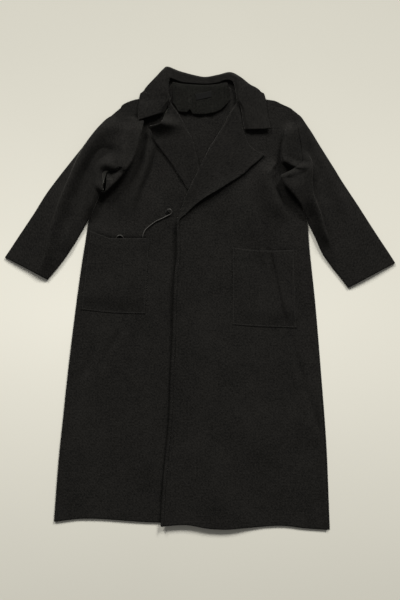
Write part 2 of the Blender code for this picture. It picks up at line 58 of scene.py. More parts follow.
# Steps and columns of the grids
ROW_STEP = 3.6 * MM
BACK_STEP = 6.0 * MM
FRONT_COLUMNS = 96
ROLL_COLUMNS = 9
LAPEL_COLUMNS = 22
SLEEVE_RING_SUB = 9
SLEEVE_TOP_COLUMNS = 52
SLEEVE_BASE_COLUMNS = 20
SLEEVE_EDGE_COLUMNS = 7
POCKET_STEP = 3.0 * MM
COLLAR_SUB = 8
COLLAR_ACROSS_SUB = 5

# Turned edges: radius of the roll along the front edge and along the lapel, which begins and ends at these
# heights, and how the front on top comes down beside the one below
EDGE_ROLL = 1.5 * MM
LAPEL_ROLL = 3.6 * MM
LAPEL_CLEAR = 0.8 * MM
LAPEL_FROM = (190.0 * MM, 330.0 * MM)
LAPEL_TO = (505.0 * MM, 470.0 * MM)
LAP_CLEAR = 25.0 * MM
LAP_RAMP = 125.0 * MM

# Where the back neck is lifted over the collar's fall, where folds end and where the hem's curve begins
NECK_LIFT_Y = (300.0 * MM, 425.0 * MM)
NECK_LIFT_X = (250.0 * MM, 150.0 * MM)
FOLDS_END_Y = (425.0 * MM, 455.0 * MM)
HEM_SHIFT_FROM = -350.0 * MM

# Left front, which lies on top: y, side edge, front edge or roll line, free edge of the turned part
OVER_ROWS = [
    (527, 100, 94, 98), (520, 108, 95, 99), (508, 145, 96, 100), (502, 189, 95, 100), (495, 204, 93, 99),
    (478, 236, 82, 101), (462, 240, 73, 104), (444, 245, 64, 107), (426, 250, 53, 110.5), (408, 254, 42, 116),
    (393, 257, 33, 122), (377, 258, 23, 138), (365, 259, 17, 164), (357, 259.5, 13, 157), (350, 258.5, 9, 149),
    (343, 255.5, 6, 141), (332, 246, 0, 127), (321, 230, -5, 117), (307, 208, -12, 98), (293, 214, -19, 76),
    (275, 230, -28, 48), (255, 247, -37, 14), (235, 260, -44, -13), (217, 266, -50, -32),
    (194, 272, -58, -53.5), (158, 275, -57, -52.5), (117, 278, -57, -52.5), (64, 283, -63, -58.5),
    (-5, 288, -66, -61.5), (-87, 294, -68, -63.5), (-184, 302, -73, -68.5), (-286, 309, -76, -71.5),
    (-388, 316, -85, -80.5), (-490, 320, -94, -89.5), (-581, 324, -99, -94.5),
]
OVER_TIP = 365.0 * MM

# Right front, which lies under it: the same columns
UNDER_ROWS = [
    (527, -90, -84, -88), (520, -97, -84, -88.5), (509, -128, -81, -86), (505, -164, -79, -84),
    (484, -201, -67, -80), (469, -200, -56, -88), (454, -199, -48, -93), (441, -198, -40, -98),
    (434, -197.6, -37, -104), (428, -197.3, -34, -133), (421, -197, -30, -124), (403, -195.5, -21, -117),
    (377, -192, -13, -99.5), (352, -196, -6.5, -80), (337, -205, -3.5, -69), (324, -236, 0, -61),
    (311, -240.5, 4, -53),
    (293, -245, 10, -41), (270, -252.5, 17, -26.5), (255, -258.5, 21, -16), (222, -273, 28.5, 8),
    (194, -282.5, 33, 28.5), (158, -288, 33, 28.5), (117, -295, 33, 28.5), (36, -307, 33, 28.5),
    (-50, -318, 33, 28.5), (-168, -333, 33, 28.5), (-290, -346, 34, 29.5), (-413, -359, 35, 30.5),
    (-515, -367, 36, 31.5), (-569, -371, 36, 31.5),
]
UNDER_TIP = 428.0 * MM

# How far the free edge of each lapel stands up: rise, y, width; and how far the right lapel's tip is pulled up
OVER_LIFTS = [(6, 262, 46), (2.5, 340, 40)]
UNDER_LIFTS = [(1.5, 400, 40), (11, 442, 14)]
UNDER_TIP_PULL = 6.0 * MM
TIP_PULL_WIDTH = 12.0 * MM

# Hems: x, y
OVER_HEM = [
    (-99, -580), (-41, -576), (25, -586), (61, -588), (127, -584), (204, -579), (270, -586), (330, -590),
]
UNDER_HEM = [(-371, -569), (-291, -561), (-102, -571), (36, -571)]
BACK_HEM = [(-371, -567), (-291, -557), (0, -566), (204, -574), (301, -586), (330, -589)]

# Back: y, left edge, right edge; then the shoulder and neck line x, y
BACK_ROWS = [
    (470, -200, 236.5), (444, -198.5, 245), (408, -196, 254), (377, -192, 258), (350, -195.5, 258.5),
    (343, -197.5, 255.5), (332, -211, 246), (321, -236.5, 230), (307, -241, 208), (293, -245, 214),
    (275, -251, 230), (255, -258.5, 247), (235, -267.5, 260), (194, -282.5, 272), (117, -295, 279),
    (-5, -313, 292), (-184, -335, 307), (-388, -356, 322), (-567, -371, 330),
]
BACK_TOP = [
    (-201, 484), (-164, 504), (-128, 508), (-97, 519), (-77, 536), (-66, 550), (-45, 546), (15, 542.5),
    (45, 545), (64, 550), (77, 534), (108, 519), (145, 507), (189, 501), (204, 495), (236.5, 477),
]
BACK_TOP_STEPS = 14

# Sleeves: outer fold x, y; bend of the ring x, y; under edge x, y; puff of the top layer
SLEEVE_RIGHT = [
    (-202, 484, -195, 410, -201, 337, 2), (-224, 465, -222, 395, -223, 331, 6),
    (-252, 436, -244, 380, -246, 322, 9), (-280, 405, -265, 350, -249.5, 298, 8),
    (-306, 375, -282, 322, -255, 270, 6), (-331, 344, -298, 293, -265, 242, 5),
    (-362, 305, -320, 260, -278, 214, 5), (-393, 263, -345, 220, -297, 176, 5),
    (-423, 215, -370, 178, -318, 140, 4.5), (-459, 161, -402, 131, -344, 101, 3.5),
    (-482, 126, -424, 100, -366, 73, 2.8), (-497, 104, -442, 76, -388, 47, 2.2),
]
SLEEVE_LEFT = [
    (237, 478, 254, 410, 260, 350, 2), (248, 470, 294, 338, 261, 346, 3), (257, 462, 310, 320, 250, 334, 5),
    (270, 442, 318, 306, 232, 322, 8), (283, 423, 322, 300, 209, 307, 11), (296, 402, 322, 298, 215, 293, 11),
    (309, 381, 318, 300, 231, 275, 10), (326, 354, 312, 294, 248, 255, 8), (344, 326, 310, 280, 261, 235, 7),
    (358, 303, 316, 260, 267, 217, 6), (377, 274, 325, 235, 273.5, 194, 5), (403, 235, 347, 195, 292, 156, 5),
    (431, 191, 370, 154, 310, 116, 4.5), (459, 148, 397, 114, 335, 80, 3.5), (481, 115, 419, 83, 358, 51, 2.8),
    (497, 90, 437, 58, 377, 26, 2.2),
]
TOUCHING_Y = 190.0 * MM

# Armhole seams, where the fronts lap over the sleeves: y of the seam's ends and how soon it begins there,
# how far in the lap reaches, its rise and how far out it comes
SEAM_Y = (330.0 * MM, 478.0 * MM)
SEAM_FADE = 12.0 * MM
SEAM_REACH = 9.0 * MM
SEAM_RISE = 1.0 * MM
SEAM_OUT = 1.6 * MM

# How far a sleeve's under edge laps over its front: y of the edge, lap, lift of the edge
LAP_RIGHT = [
    (350, 0, 0), (338, 3, 1), (331, 6, 2), (322, 3, 5), (305, 0, 3), (280, 3, 5), (262, 5, 7), (235, 5, 7),
    (205, 4, 5), (185, 1, 2), (150, 0, 0),
]
LAP_LEFT = [
    (350, 0, 0), (340, 2, 5), (322, 6, 16), (307, 9, 23), (290, 9, 23), (260, 7, 19), (235, 6, 14),
    (215, 4, 8), (192, 0, 2), (165, 0, 0),
]
LAP_FROM = 0.62
SLEEVE_TOP_POWER = 0.7

# Pockets: mouth x, y and base x, y; height of the bag
POCKET_LEFT_MOUTH = [(82, 127.5), (160, 119.5), (182, 119.5), (239, 121)]
POCKET_LEFT_BASE = [(82, -68), (150, -73), (246, -76.5)]
POCKET_LEFT_BAG = 2.5 * MM
POCKET_RIGHT_MOUTH = [(-280, 170), (-237, 154), (-229, 151), (-128.5, 151)]
POCKET_RIGHT_BASE = [(-303, -30), (-205, -39), (-139.5, -40.5)]
POCKET_RIGHT_BAG = 5.0 * MM
BAG_RISE_SHARE = 0.3

# Wall of the pockets and the gap below it, both pressed thin along the sewn base and less so along the sides
POCKET_CLOTH = 2.0 * MM
POCKET_GAP = 0.9 * MM
SEWN_CLOTH = 0.5 * MM
SEWN_GAP = 0.35 * MM
SEWN_FADE = 42.0 * MM
SIDE_CLOTH = 1.3 * MM
SIDE_FADE = 6.0 * MM

# Stitching of the pockets: distance from the edge and the groove it pulls; then the single stitch, with the
# distance before and after it that gives its run; and the hem at the mouth
STITCH_IN = 3.0 * MM
STITCH_GROOVE = 0.25 * MM
STITCH_GROOVE_WIDTH = 2.0 * MM
STITCH_LENGTH = 2.9 * MM
STITCH_WIDTH = 0.7 * MM
STITCH_HEIGHT = 0.6 * MM
STITCH_PITCH = 3.8 * MM
STITCH_SIDES = 6
STITCH_TIP_SHARE = 0.08
STITCH_AIM = 0.5 * MM
HEM_BAND = 28.0 * MM
HEM_BAND_FADE = 3.0 * MM
HEM_BAND_STEP = 0.35 * MM

# Collar stations from the wearer's right end round the back: neck edge x, y, z; roll x, y, z;
# outer fold x, y, z with its half height; free edge x, y, z
COLLAR = [
    (-92, 471, 13, -104, 467, 18.5, -136, 457, 21, 0, -154, 451.5, 19),
    (-84, 487, 12.5, -94, 487, 17.5, -136, 483, 18, 0, -157, 479, 15.5),
    (-76, 505, 14.2, -82, 505, 17, -134, 503, 13.5, 0, -154, 501, 11),
    (-78, 516, 13, -84, 520, 17.5, -138, 523, 12, 0, -152, 517, 9.4),
    (-79, 524, 12.8, -86, 530, 17.3, -139, 531, 9, 2.5, -147, 520, 3.6),
    (-80, 532, 12.6, -88, 540, 17, -130, 543, 6.2, 4.9, -127, 514, 1.3),
    (-80, 549, 11.5, -89, 560, 16, -111, 563, 6, 4.8, -104, 508, 1.1),
    (-76, 559, 10, -87, 578, 13, -94, 581, 5.8, 4.6, -84, 509, 1.1),
    (-63, 555, 8.2, -79, 583, 9.5, -82, 588, 5, 3.6, -66, 509, 1.1),
    (-45, 549, 7.2, -52, 571, 8, -53, 577, 4.4, 3.2, -45, 507, 1.1),
    (-10, 546, 7, -12, 561, 7.4, -12, 566, 4.2, 3, -10, 500, 1.1),
    (15, 545, 7, 15, 557, 7.4, 15, 562, 4.2, 3, 15, 497, 1.1),
    (45, 548, 7, 47, 563, 7.4, 48, 568, 4.2, 3, 46, 499, 1.1),
    (65, 555, 8, 73, 569, 9, 77, 574, 4.7, 3.5, 72, 505, 1.1),
    (82, 551, 10.5, 93, 560, 13, 102, 562, 5.9, 4.7, 88, 505, 1.1),
    (88, 539, 12, 98, 545, 16, 126, 543, 6.1, 4.9, 112, 506, 1.1),
    (91, 526, 13, 100, 530, 17, 141, 535, 6.2, 4.9, 139, 517, 1.3),
    (92, 519, 13, 100, 522, 17.3, 151, 527, 9, 2.5, 157, 521, 3.6),
    (93, 512, 13, 100, 513, 17.5, 150, 519, 12, 0, 163, 517, 9.4),
    (95, 502, 14.2, 102, 499, 17, 150, 498, 13, 0, 167, 498, 10.8),
    (105, 480, 12.6, 114, 478, 15.5, 154, 471, 13.5, 0, 170, 468, 11.5),
    (110, 447, 11.8, 119, 446, 14.5, 159, 445, 15, 0, 175, 446, 13),
    (113.5, 428, 11.5, 124, 428, 14.5, 162, 429, 16, 0, 178, 431, 14.5),
]
COLLAR_FOLD_REACH = 4.0 * MM
COLLAR_WAVE_SHARE = 0.6

# Facing inside the back neck: upper edge x, y and lower edge x, y
FACING_TOP = [(-70, 549), (-45, 544.5), (15, 541), (45, 543.5), (70, 547)]
FACING_BASE = [
    (-69, 496), (-62, 487), (-53, 474), (-33, 472), (-26, 479), (-18, 468), (0, 467), (25, 469), (51, 478),
    (66, 491), (77, 505),
]
FACING_STEP = 1.8 * MM

# Rise of the facing off the back between its ends, the waves of its lower edge, and its upright wrinkles:
# x, rise, width, top y
FACING_RISE = 2.6 * MM
FACING_FLAT_X = (-68.0 * MM, 77.0 * MM)
FACING_FULL_X = (-58.0 * MM, 69.0 * MM)
FACING_RISE_Y = (552.0 * MM, 535.0 * MM)
FACING_WAVE = 0.8 * MM
FACING_WAVE_LENGTH = 31.0 * MM
FACING_WRINKLES = [(-41, 2.4, 4, 520), (-27, 3.2, 5, 512), (30, 1.4, 6, 500), (66, 3.0, 3.5, 570)]
FACING_WRINKLE_FADE = 30.0 * MM

# Plain label: middle, size and turn in degrees
LABEL_AT = (9.0 * MM, 514.0 * MM)
LABEL_SIZE = (40.0 * MM, 15.0 * MM)
LABEL_TURN = 12.0
LABEL_STEPS = (40, 16)

# Eyelet of the cord, worked in stitches round its rim
EYELET_HOLE = 2.3 * MM
EYELET_RIM = 1.1 * MM
EYELET_AT = (-84.0 * MM, 219.0 * MM)
EYELET_STITCHES = 48

# Cord: its braid, with turns to the metre, and its route on the right front: x, y, height over the cloth
CORD_DIAMETER = 2.8 * MM
CORD_AROUND = 18
CORD_SUB = 14
CORD_STRANDS = 3.0
CORD_RIBS = 0.1
CORD_TURNS = 190.0
CORD_END_SHARE = 0.05
CORD = [
    (-84, 219, 0.9), (-82.6, 223.2, 3.9), (-79, 225.4, 5.0), (-74.8, 224.5, 4.8), (-72, 221.2, 3.9),
    (-72, 216.8, 2.8), (-74.9, 213.4, 1.8), (-82, 209.6, 1.0), (-90, 205.5, 0.6), (-98, 201.5, 0.5),
    (-112, 195, 0.5), (-122, 188, 0.5), (-131, 181, 0.5), (-137.5, 175, 0.5), (-142, 168, 0.5),
    (-145, 160, 0.5), (-146, 151, 0.5), (-148, 139, 0.5), (-153, 125, 0.5), (-163, 114, 0.5),
    (-176, 109, 0.5), (-190, 109, 0.5), (-202, 116, 0.5), (-210, 128, 0.5), (-213, 142, 0.5),
    (-213, 151, 0.5), (-209.5, 157, 0.5), (-203.5, 159.5, 0.5), (-197.5, 157, 0.5), (-194, 150, 0.5),
    (-191, 140, 0.5), (-187, 130, 0.5),
]

# Large folds, as in the solids: start x, y, end x, y, bow to the left of the run, rise, width left and right
FOLDS = [
    (-156, 456, -256, 262, 27, 13, 12, 46),
    (-128, 420, -200, 240, 10, 5, 20, 22),
    (224, 442, 218, 340, -4, 9, 34, 13),
    (192, 322, 182, 150, 4, 7, 26, 60),
    (-226, 446, -396, 82, -27, 9, 20, 24),
    (270, 368, 328, 135, 8, 8, 18, 28),
    (-195, -60, -262, -230, 0, 3, 30, 34),
    (-285, -150, -318, -430, 0, 3, 30, 30),
    (-130, -130, -134, -400, 0, 2.5, 30, 30),
    (12, -110, 12, -420, 0, 2.5, 38, 38),
    (232, -90, 300, -420, 6, 4, 30, 34),
    (138, -160, 158, -420, 0, 2.5, 36, 36),
]
FOLD_END_SHARE = 0.3

# Creases: rise, width left and right of the run, lean to the left, fade at start and end, points x, y
CREASES = [
    # right armhole: the lip of the roll, the hollow beside it, and the pleats of the underarm
    (12, 5, 20, 14, 5, 10, [
        (-156, 455), (-163, 416), (-172, 384), (-181, 358), (-198, 331), (-219, 307),
        (-240, 286), (-254, 272)]),
    (-10, 13, 7, 0, 5, 10, [
        (-143, 454), (-149, 412), (-157, 378), (-165, 350), (-184, 320), (-210, 293),
        (-238, 268), (-262, 238)]),
    (-8, 7, 7, 0, 8, 8, [(-208, 332), (-224, 322), (-236, 306)]),
    (3, 4, 5, 0, 12, 12, [(-184, 356), (-200, 334), (-218, 316)]),
    # right sleeve: its long crest, a second one, the knuckle at the underarm and the hollows between
    (8, 28, 7, -4, 20, 40, [
        (-226, 462), (-264, 416), (-299, 360), (-324, 301), (-342, 260), (-360, 209), (-373, 163), (-385, 112),
        (-398, 76)]),
    (3.4, 9, 14, 0, 30, 30, [(-314, 256), (-327, 213), (-334, 160), (-338, 116)]),
    (9, 9, 12, 0, 12, 40, [
        (-218, 342), (-230, 342), (-244, 339), (-257, 326), (-264, 298), (-275, 254), (-291, 206)]),
    (-5, 18, 14, 0, 40, 40, [(-276, 350), (-300, 300), (-320, 240), (-340, 170)]),
    (-6, 14, 12, 0, 60, 40, [(-204, 370), (-230, 374), (-258, 362), (-278, 328), (-294, 276)]),
    (-4, 18, 12, 0, 40, 40, [(-246, 414), (-264, 376), (-280, 344)]),
    (3, 14, 16, 0, 30, 30, [(-214, 452), (-224, 410), (-226, 372)]),
    # left armhole: the crease beside the strip at the seam, and the two folds that meet at the underarm
    (9, 22, 4, -6, 30, 12, [(226, 440), (219, 410), (214, 380), (212, 352)]),
    (-8, 5, 10, 0, 30, 10, [(207, 398), (204, 372), (201, 342)]),
    (13, 7, 8, -7, 10, 45, [(210, 354), (228, 346), (244, 338), (258, 334), (270, 333)]),
    (-22, 14, 16, 0, 8, 8, [(194, 338), (208, 328), (226, 320)]),
    (6, 3, 10, 0, 10, 20, [(212, 303), (228, 312), (246, 321)]),
    (-16, 22, 16, 0, 16, 30, [(198, 318), (206, 292), (222, 262), (240, 226)]),
    (11, 11, 32, 0, 30, 50, [(186, 340), (180, 300), (190, 254), (212, 206)]),
    # left sleeve: its curved crest and the hollow outside it
    (11, 4, 15, 2, 20, 30, [
        (270, 366), (279, 340), (278, 304), (283, 264), (299, 220), (312, 176), (326, 136)]),
    (-5, 12, 16, 0, 30, 40, [(290, 360), (300, 322), (303, 286), (314, 244)]),
    (4, 20, 22, 0, 40, 50, [(300, 372), (326, 316), (352, 262), (372, 214)]),
    (3, 12, 18, 0, 20, 20, [(262, 452), (272, 416), (282, 380)]),
    # right front above the pocket
    (6, 10, 13, 0, 40, 60, [(-121, 392), (-131, 342), (-146, 304), (-160, 270), (-176, 214)]),
    (-5, 10, 10, 0, 30, 30, [(-112, 378), (-118, 334), (-132, 286), (-146, 240)]),
    (2, 14, 14, 0, 30, 30, [(-108, 260), (-104, 200), (-110, 130)]),
    (-3, 10, 12, 0, 30, 30, [(-214, 262), (-232, 210), (-246, 172)]),
    # left front below the lapel
    (-3, 16, 16, 0, 30, 40, [(20, 246), (52, 262), (92, 284)]),
    (2.4, 16, 20, 0, 40, 60, [(128, 300), (124, 240), (130, 170)]),
    (-2.4, 14, 14, 0, 40, 40, [(160, 300), (152, 230), (156, 160)]),
    # skirt: soft troughs and the ridges beside them
    (-3, 9, 10, 0, 20, 30, [(-186, -66), (-218, -112), (-240, -148), (-243, -190)]),
    (-3, 9, 10, 0, 40, 60, [(-258, -106), (-286, -173), (-306, -214), (-321, -310)]),
    (-2.6, 11, 12, 0, 60, 80, [(-127, -140), (-131, -240), (-133, -350)]),
    (-2.4, 13, 14, 0, 60, 80, [(16, -150), (13, -240), (10, -340)]),
    (-4, 8, 9, 0, 20, 60, [(226, -84), (240, -134), (256, -188), (291, -301), (312, -356)]),
    (-2.4, 11, 12, 0, 40, 60, [(136, -190), (146, -236), (154, -296)]),
    (2, 30, 30, 0, 80, 80, [(70, -120), (84, -280), (76, -460)]),
    (3.4, 5, 6, 0, 90, 10, [(297, -190), (305, -290), (311, -388), (316, -490), (320, -580)]),
    # the front behind the left pocket's mouth, and the fold down the pocket
    (2.4, 30, 3.4, 0, 10, 10, [(174, 126), (200, 126), (228, 126.5)]),
    (-4, 4, 8, 0, 10, 16, [(175, 126), (184, 84), (194, 38), (204, -10), (218, -60)]),
    (4.2, 20, 4, 0, 10, 50, [(182, 124), (191, 84), (201, 38), (211, -10), (223, -56)]),
    (2.2, 5, 9, 0, 10, 26, [(160, 126), (164, 104), (172, 74), (184, 30)]),
    # the front behind the right pocket's mouth, and the shallow dents of the pocket
    (2.2, 26, 3.4, 0, 24, 10, [(-276, 175), (-240, 161.5), (-224, 158), (-180, 157), (-134, 157)]),
    (-3, 12, 12, 0, 26, 26, [(-240, 130), (-232, 90), (-226, 52)]),
    (-2.6, 10, 10, 0, 26, 26, [(-182, 104), (-178, 60), (-184, 8), (-202, -70)]),
]
# Creases of the turned part of the right front alone: the same columns
LAPEL_CREASES = [
    (11, 16, 16, 0, 10, 26, [(-134, 432), (-104, 435), (-70, 437), (-36, 440)]),
    (1.6, 5, 5, 0, 20, 20, [(-36, 372), (-44, 330), (-46, 290)]),
]
# Rise of the left front alone along its edge: the same columns
EDGE_CREASES = [
    (5, 18, 8, 0, 40, 150, [
        (-42, 238), (-52, 205), (-55, 160), (-55, 110), (-61, 50), (-64, -20), (-67, -110)]),
]

# Path of a crease: steps between its points, then even steps, at least so many, and how many widths it
# reaches; height within which the cloth settles on the flat
CREASE_SUB = 24
CREASE_STEP = 3.0 * MM
CREASE_LEAST = 6
CREASE_REACH = 3.2
RELIEF_FLOOR = 0.6 * MM

# Low waves that keep the cloth from being dead flat: height and shortest and longest wave
WAVE_HEIGHT = 0.42 * MM
WAVE_LENGTHS = (36.0 * MM, 170.0 * MM)
WAVE_COUNT = 26
WAVE_SEED = 11

# Tones of the finishes: base and fleck of the wools, dark and light of the yarns
WOOL_TONES = ((0.0030, 0.0029, 0.0026, 1.0), (0.0166, 0.0157, 0.0142, 1.0))
FACING_TONES = ((0.0016, 0.0016, 0.0013, 1.0), (0.0124, 0.0123, 0.0104, 1.0))
CORD_TONES = ((0.020, 0.019, 0.017, 1.0), (0.056, 0.053, 0.047, 1.0))
EYELET_TONES = ((0.003, 0.003, 0.0027, 1.0), (0.009, 0.0088, 0.008, 1.0))
STITCH_TONES = ((0.022, 0.021, 0.019, 1.0), (0.05, 0.048, 0.044, 1.0))
LABEL_TONES = ((0.004, 0.004, 0.004, 1.0), (0.007, 0.007, 0.0065, 1.0))

# Wool: share of the twill in its relief, strength and distance of its bump, specular level and sheen
TWILL = 0.35
WOOL_BUMP = (0.55, 0.5 * MM)
WOOL_SPECULAR = 0.08
WOOL_SHEEN = 0.15
FACING_SHEEN = 0.05
SHEEN_ROUGHNESS = 0.28
SHEEN_COLOUR = (0.9, 0.87, 0.8, 1.0)

# Nap of the wool: scale, detail and roughness of its noises, turn and stretch of its fibres, and its twill
FIBRES = (900.0, 4.0, 0.7)
CRUMBS = (235.0, 3.0, 0.65)
MOTTLE = (55.0, 3.0, 0.55)
CLOUDS = (9.0, 2.0, 0.5)
FIBRE_TURN = math.radians(38.0)
FIBRE_STRETCH = (1.0, 3.2, 1.0)
TWILL_WAVE = {"Scale": 95.0, "Distortion": 2.2, "Detail": 2.0, "Detail Scale": 2.0}

# Shares of fibres, crumbs, mottle and clouds in the colour, and of fibres and crumbs in the height; the range
# of the first that goes from base to fleck, and the range of the roughness
COLOUR_SHARES = (0.3, 0.7, 0.14, 0.14)
HEIGHT_SHARES = (0.7, 0.6)
FLECK_RANGE = (0.50, 0.76)
ROUGHNESS_RANGE = (0.82, 0.97)

# Yarns: texture, roughness with specular level, strength and distance of the bump
CORD_WAVE = {"Scale": 260.0, "Distortion": 1.0}
CORD_FINISH = (0.5, 0.3)
CORD_BUMP = (0.5, 0.2 * MM)
THREAD_NOISE = {"Scale": 1500.0}
THREAD_FINISH = (0.6, 0.2)
LABEL_WAVE = {"Scale": 420.0, "Distortion": 0.4}
LABEL_FINISH = (0.7, 0.1)
LABEL_BUMP = (0.3, 0.1 * MM)

# Floor: tone in the middle and a painted shade far out for the light that falls off away from the middle;
# where the middle is and how soon the painted shade comes in; scale and range of its faint spots, roughness
# with specular level, and half side
FLOOR_PALE = (0.89, 0.871, 0.782, 1.0)
FLOOR_PAINTED_SHADE = (0.57, 0.56, 0.495, 1.0)
FLOOR_MIDDLE = (0.05, 0.03, 0.0)
FLOOR_SHADE_SCALE = (0.22, 0.62, 1.0)
FLOOR_SPOT_SCALE = 2.2
FLOOR_SPOTS = (0.975, 1.025)
FLOOR_FINISH = (0.75, 0.15)
FLOOR_REACH = 6.0

# Two soft windows: name, place, power; and the light of the room
WINDOWS = [("window_left", (-6.5, 14.0, 8.6), 2350.0), ("window_right", (6.5, 14.0, 8.6), 2850.0)]
WINDOW_SIZE = 4.5
WINDOW_COLOUR = (1.0, 0.985, 0.95)
ROOM_COLOUR = (1.0, 0.99, 0.97, 1.0)
ROOM_STRENGTH = 0.16

# Camera: height, length of floor in the picture, its middle, and the height of the sensor in millimetres
CAMERA_HEIGHT = 2.6
FRAME_HEIGHT = 1.53
FRAME_CENTRE = (0.0, -5.1 * MM)
SENSOR = 36.0


# Curves and tables


def ramp(x, start, end):
    """Smooth step from 0 at start to 1 at end."""
    t = np.clip((x - start) / (end - start), 0.0, 1.0)
    return t * t * (3.0 - 2.0 * t)


def unit(v):
    """Vectors of length one."""
    return v / np.maximum(np.linalg.norm(v, axis=-1, keepdims=True), 1e-12)


def through(keys, values, at):
    """Smooth curve through points that never overshoots.

    Cubic pieces; the slope at a point is the harmonic mean of its two straight slopes, and zero at a turn.
    """
    gap = np.diff(keys)
    slope = np.diff(values) / gap
    first, second = slope[:-1], slope[1:]
    weight_a = 2.0 * gap[1:] + gap[:-1]
    weight_b = gap[1:] + 2.0 * gap[:-1]
    safe_a = np.where(first == 0.0, 1.0, first)
    safe_b = np.where(second == 0.0, 1.0, second)
    mean = (weight_a + weight_b) / (weight_a / safe_a + weight_b / safe_b)
    inner = np.where(first * second > 0.0, mean, 0.0)
    tangent = np.concatenate([slope[:1], inner, slope[-1:]])
    at = np.clip(at, keys[0], keys[-1])
    k = np.clip(np.searchsorted(keys, at, side="right") - 1, 0, len(gap) - 1)
    t = (at - keys[k]) / gap[k]
    start = (1.0 + 2.0 * t) * (1.0 - t) ** 2 * values[k] + t * (1.0 - t) ** 2 * gap[k] * tangent[k]
    end = t**2 * (3.0 - 2.0 * t) * values[k + 1] + t**2 * (t - 1.0) * gap[k] * tangent[k + 1]
    return start + end


def look_up(rows, key, value, at, corner=None):
    """Value column of a table at places of its key column: smooth, but sharp at a corner if one is given."""
    data = np.array(rows, dtype=float)
    data = data[np.argsort(data[:, key])] * MM
    keys, values = data[:, key], data[:, value]
    at = np.asarray(at, dtype=float)
    if corner is None:
        return through(keys, values, at)
    k = int(np.argmin(np.abs(keys - corner)))
    below = through(keys[: k + 1], values[: k + 1], at)
    above = through(keys[k:], values[k:], at)
    return np.where(at < keys[k], below, above)


def smooth_rows(rows, steps):
    """Catmull-Rom curve through the rows of a table, with the given number of steps between rows."""
    before = np.concatenate([2.0 * rows[:1] - rows[1:2], rows[:-2]])
    after = np.concatenate([rows[2:], 2.0 * rows[-1:] - rows[-2:-1]])
    start, end = rows[:-1], rows[1:]
    t = (np.arange(steps) / steps)[None, :, None]
    p, a, b, n = (part[:, None, :] for part in (before, start, end, after))
    curve = 2.0 * a + (b - p) * t + (2.0 * p - 5.0 * a + 4.0 * b - n) * t**2
    curve = curve + (3.0 * a - p - 3.0 * b + n) * t**3
    return np.concatenate([0.5 * curve.reshape(-1, rows.shape[1]), rows[-1:]])


def fine_rows(rows, step):
    """Heights of a table's rows with even steps between them, so that every row of the table is kept."""
    marks = np.array(rows, dtype=float)[:, 0] * MM
    parts = []
    for start, end in zip(marks[:-1], marks[1:]):
        count = max(1, int(math.ceil(abs(end - start) / step)))
        parts.append(np.linspace(start, end, count, endpoint=False))
    return np.concatenate(parts + [marks[-1:]])


def arc_lengths(mid, axis):
    """Distance along a grid or a path from its first row or column."""
    steps = np.linalg.norm(np.diff(mid, axis=axis), axis=-1)
    first = np.zeros_like(np.take(steps, [0], axis=axis))
    return np.cumsum(np.concatenate([first, steps], axis=axis), axis=axis)


# Relief of the cloth


def fold_height(x, y):
    """Sum of the large folds: a bell across each run, with its own width on the two sides."""
    total = np.zeros(np.broadcast(x, y).shape)
    for x0, y0, x1, y1, bow, rise, left, right in FOLDS:
        run_x, run_y = (x1 - x0) * MM, (y1 - y0) * MM
        length = math.hypot(run_x, run_y)
        along = ((x - x0 * MM) * run_x + (y - y0 * MM) * run_y) / length**2
        side = ((y - y0 * MM) * run_x - (x - x0 * MM) * run_y) / length
        inside = np.clip(along, 0.0, 1.0)
        off = side - bow * MM * 4.0 * inside * (1.0 - inside)
        width = np.where(off > 0.0, left, right) * MM
        start = ramp(along, -FOLD_END_SHARE, FOLD_END_SHARE)
        end = ramp(along, 1.0 + FOLD_END_SHARE, 1.0 - FOLD_END_SHARE)
        total = total + rise * MM * start * end * np.exp(-((off / width) ** 2))
    return total


def waves(x, y):
    """Low waves: a sum of sines with seeded directions, lengths and phases."""
    draw = np.random.default_rng(WAVE_SEED)
    turns = draw.uniform(0.0, 2.0 * math.pi, WAVE_COUNT)
    lengths = draw.uniform(*WAVE_LENGTHS, WAVE_COUNT)
    phases = draw.uniform(0.0, 2.0 * math.pi, WAVE_COUNT)
    total = np.zeros(np.broadcast(x, y).shape)
    for turn, length, phase in zip(turns, lengths, phases):
        along = (x * math.cos(turn) + y * math.sin(turn)) * 2.0 * math.pi / length
        total = total + np.sin(along + phase) * length / WAVE_LENGTHS[1]
    return WAVE_HEIGHT * total / math.sqrt(WAVE_COUNT / 2.0)


def crease_bell(x, y, left, right, fade_in, fade_out, points):
    """Bell across one crease from the nearest point of its path, and the direction to the left of its run."""
    path = smooth_rows(np.array(points, dtype=float) * MM, CREASE_SUB)
    arc = arc_lengths(path, 0)
    count = max(CREASE_LEAST, int(arc[-1] / CREASE_STEP))
    even = np.linspace(0.0, arc[-1], count)
    path = np.stack([np.interp(even, arc, path[:, 0]), np.interp(even, arc, path[:, 1])], axis=1)
    run = unit(np.gradient(path, axis=0))
    place = np.stack([x.ravel(), y.ravel()], axis=1)
    reach = CREASE_REACH * max(left, right) * MM
    low, high = path.min(axis=0) - reach, path.max(axis=0) + reach
    near = np.nonzero(np.all((place > low) & (place < high), axis=1))[0]
    bell = np.zeros(len(place))
    toward = np.zeros((len(place), 2))
    if len(near):
        apart = place[near, None, :] - path[None, :, :]
        nearest = np.argmin((apart**2).sum(axis=2), axis=1)
        step = apart[np.arange(len(near)), nearest]
        ahead = run[nearest]
        forward = (step * ahead).sum(axis=1)
        off = ahead[:, 0] * step[:, 1] - ahead[:, 1] * step[:, 0]
        width = np.where(off > 0.0, left, right) * MM
        along = even[nearest] + forward
        start = ramp(along, -0.5 * fade_in * MM, fade_in * MM)
        end = ramp(along, arc[-1] + 0.5 * fade_out * MM, arc[-1] - fade_out * MM)
        bell[near] = start * end * np.exp(-((off / width) ** 2))
        toward[near, 0] = -ahead[:, 1]
        toward[near, 1] = ahead[:, 0]
    return bell.reshape(x.shape), toward.reshape(x.shape + (2,))


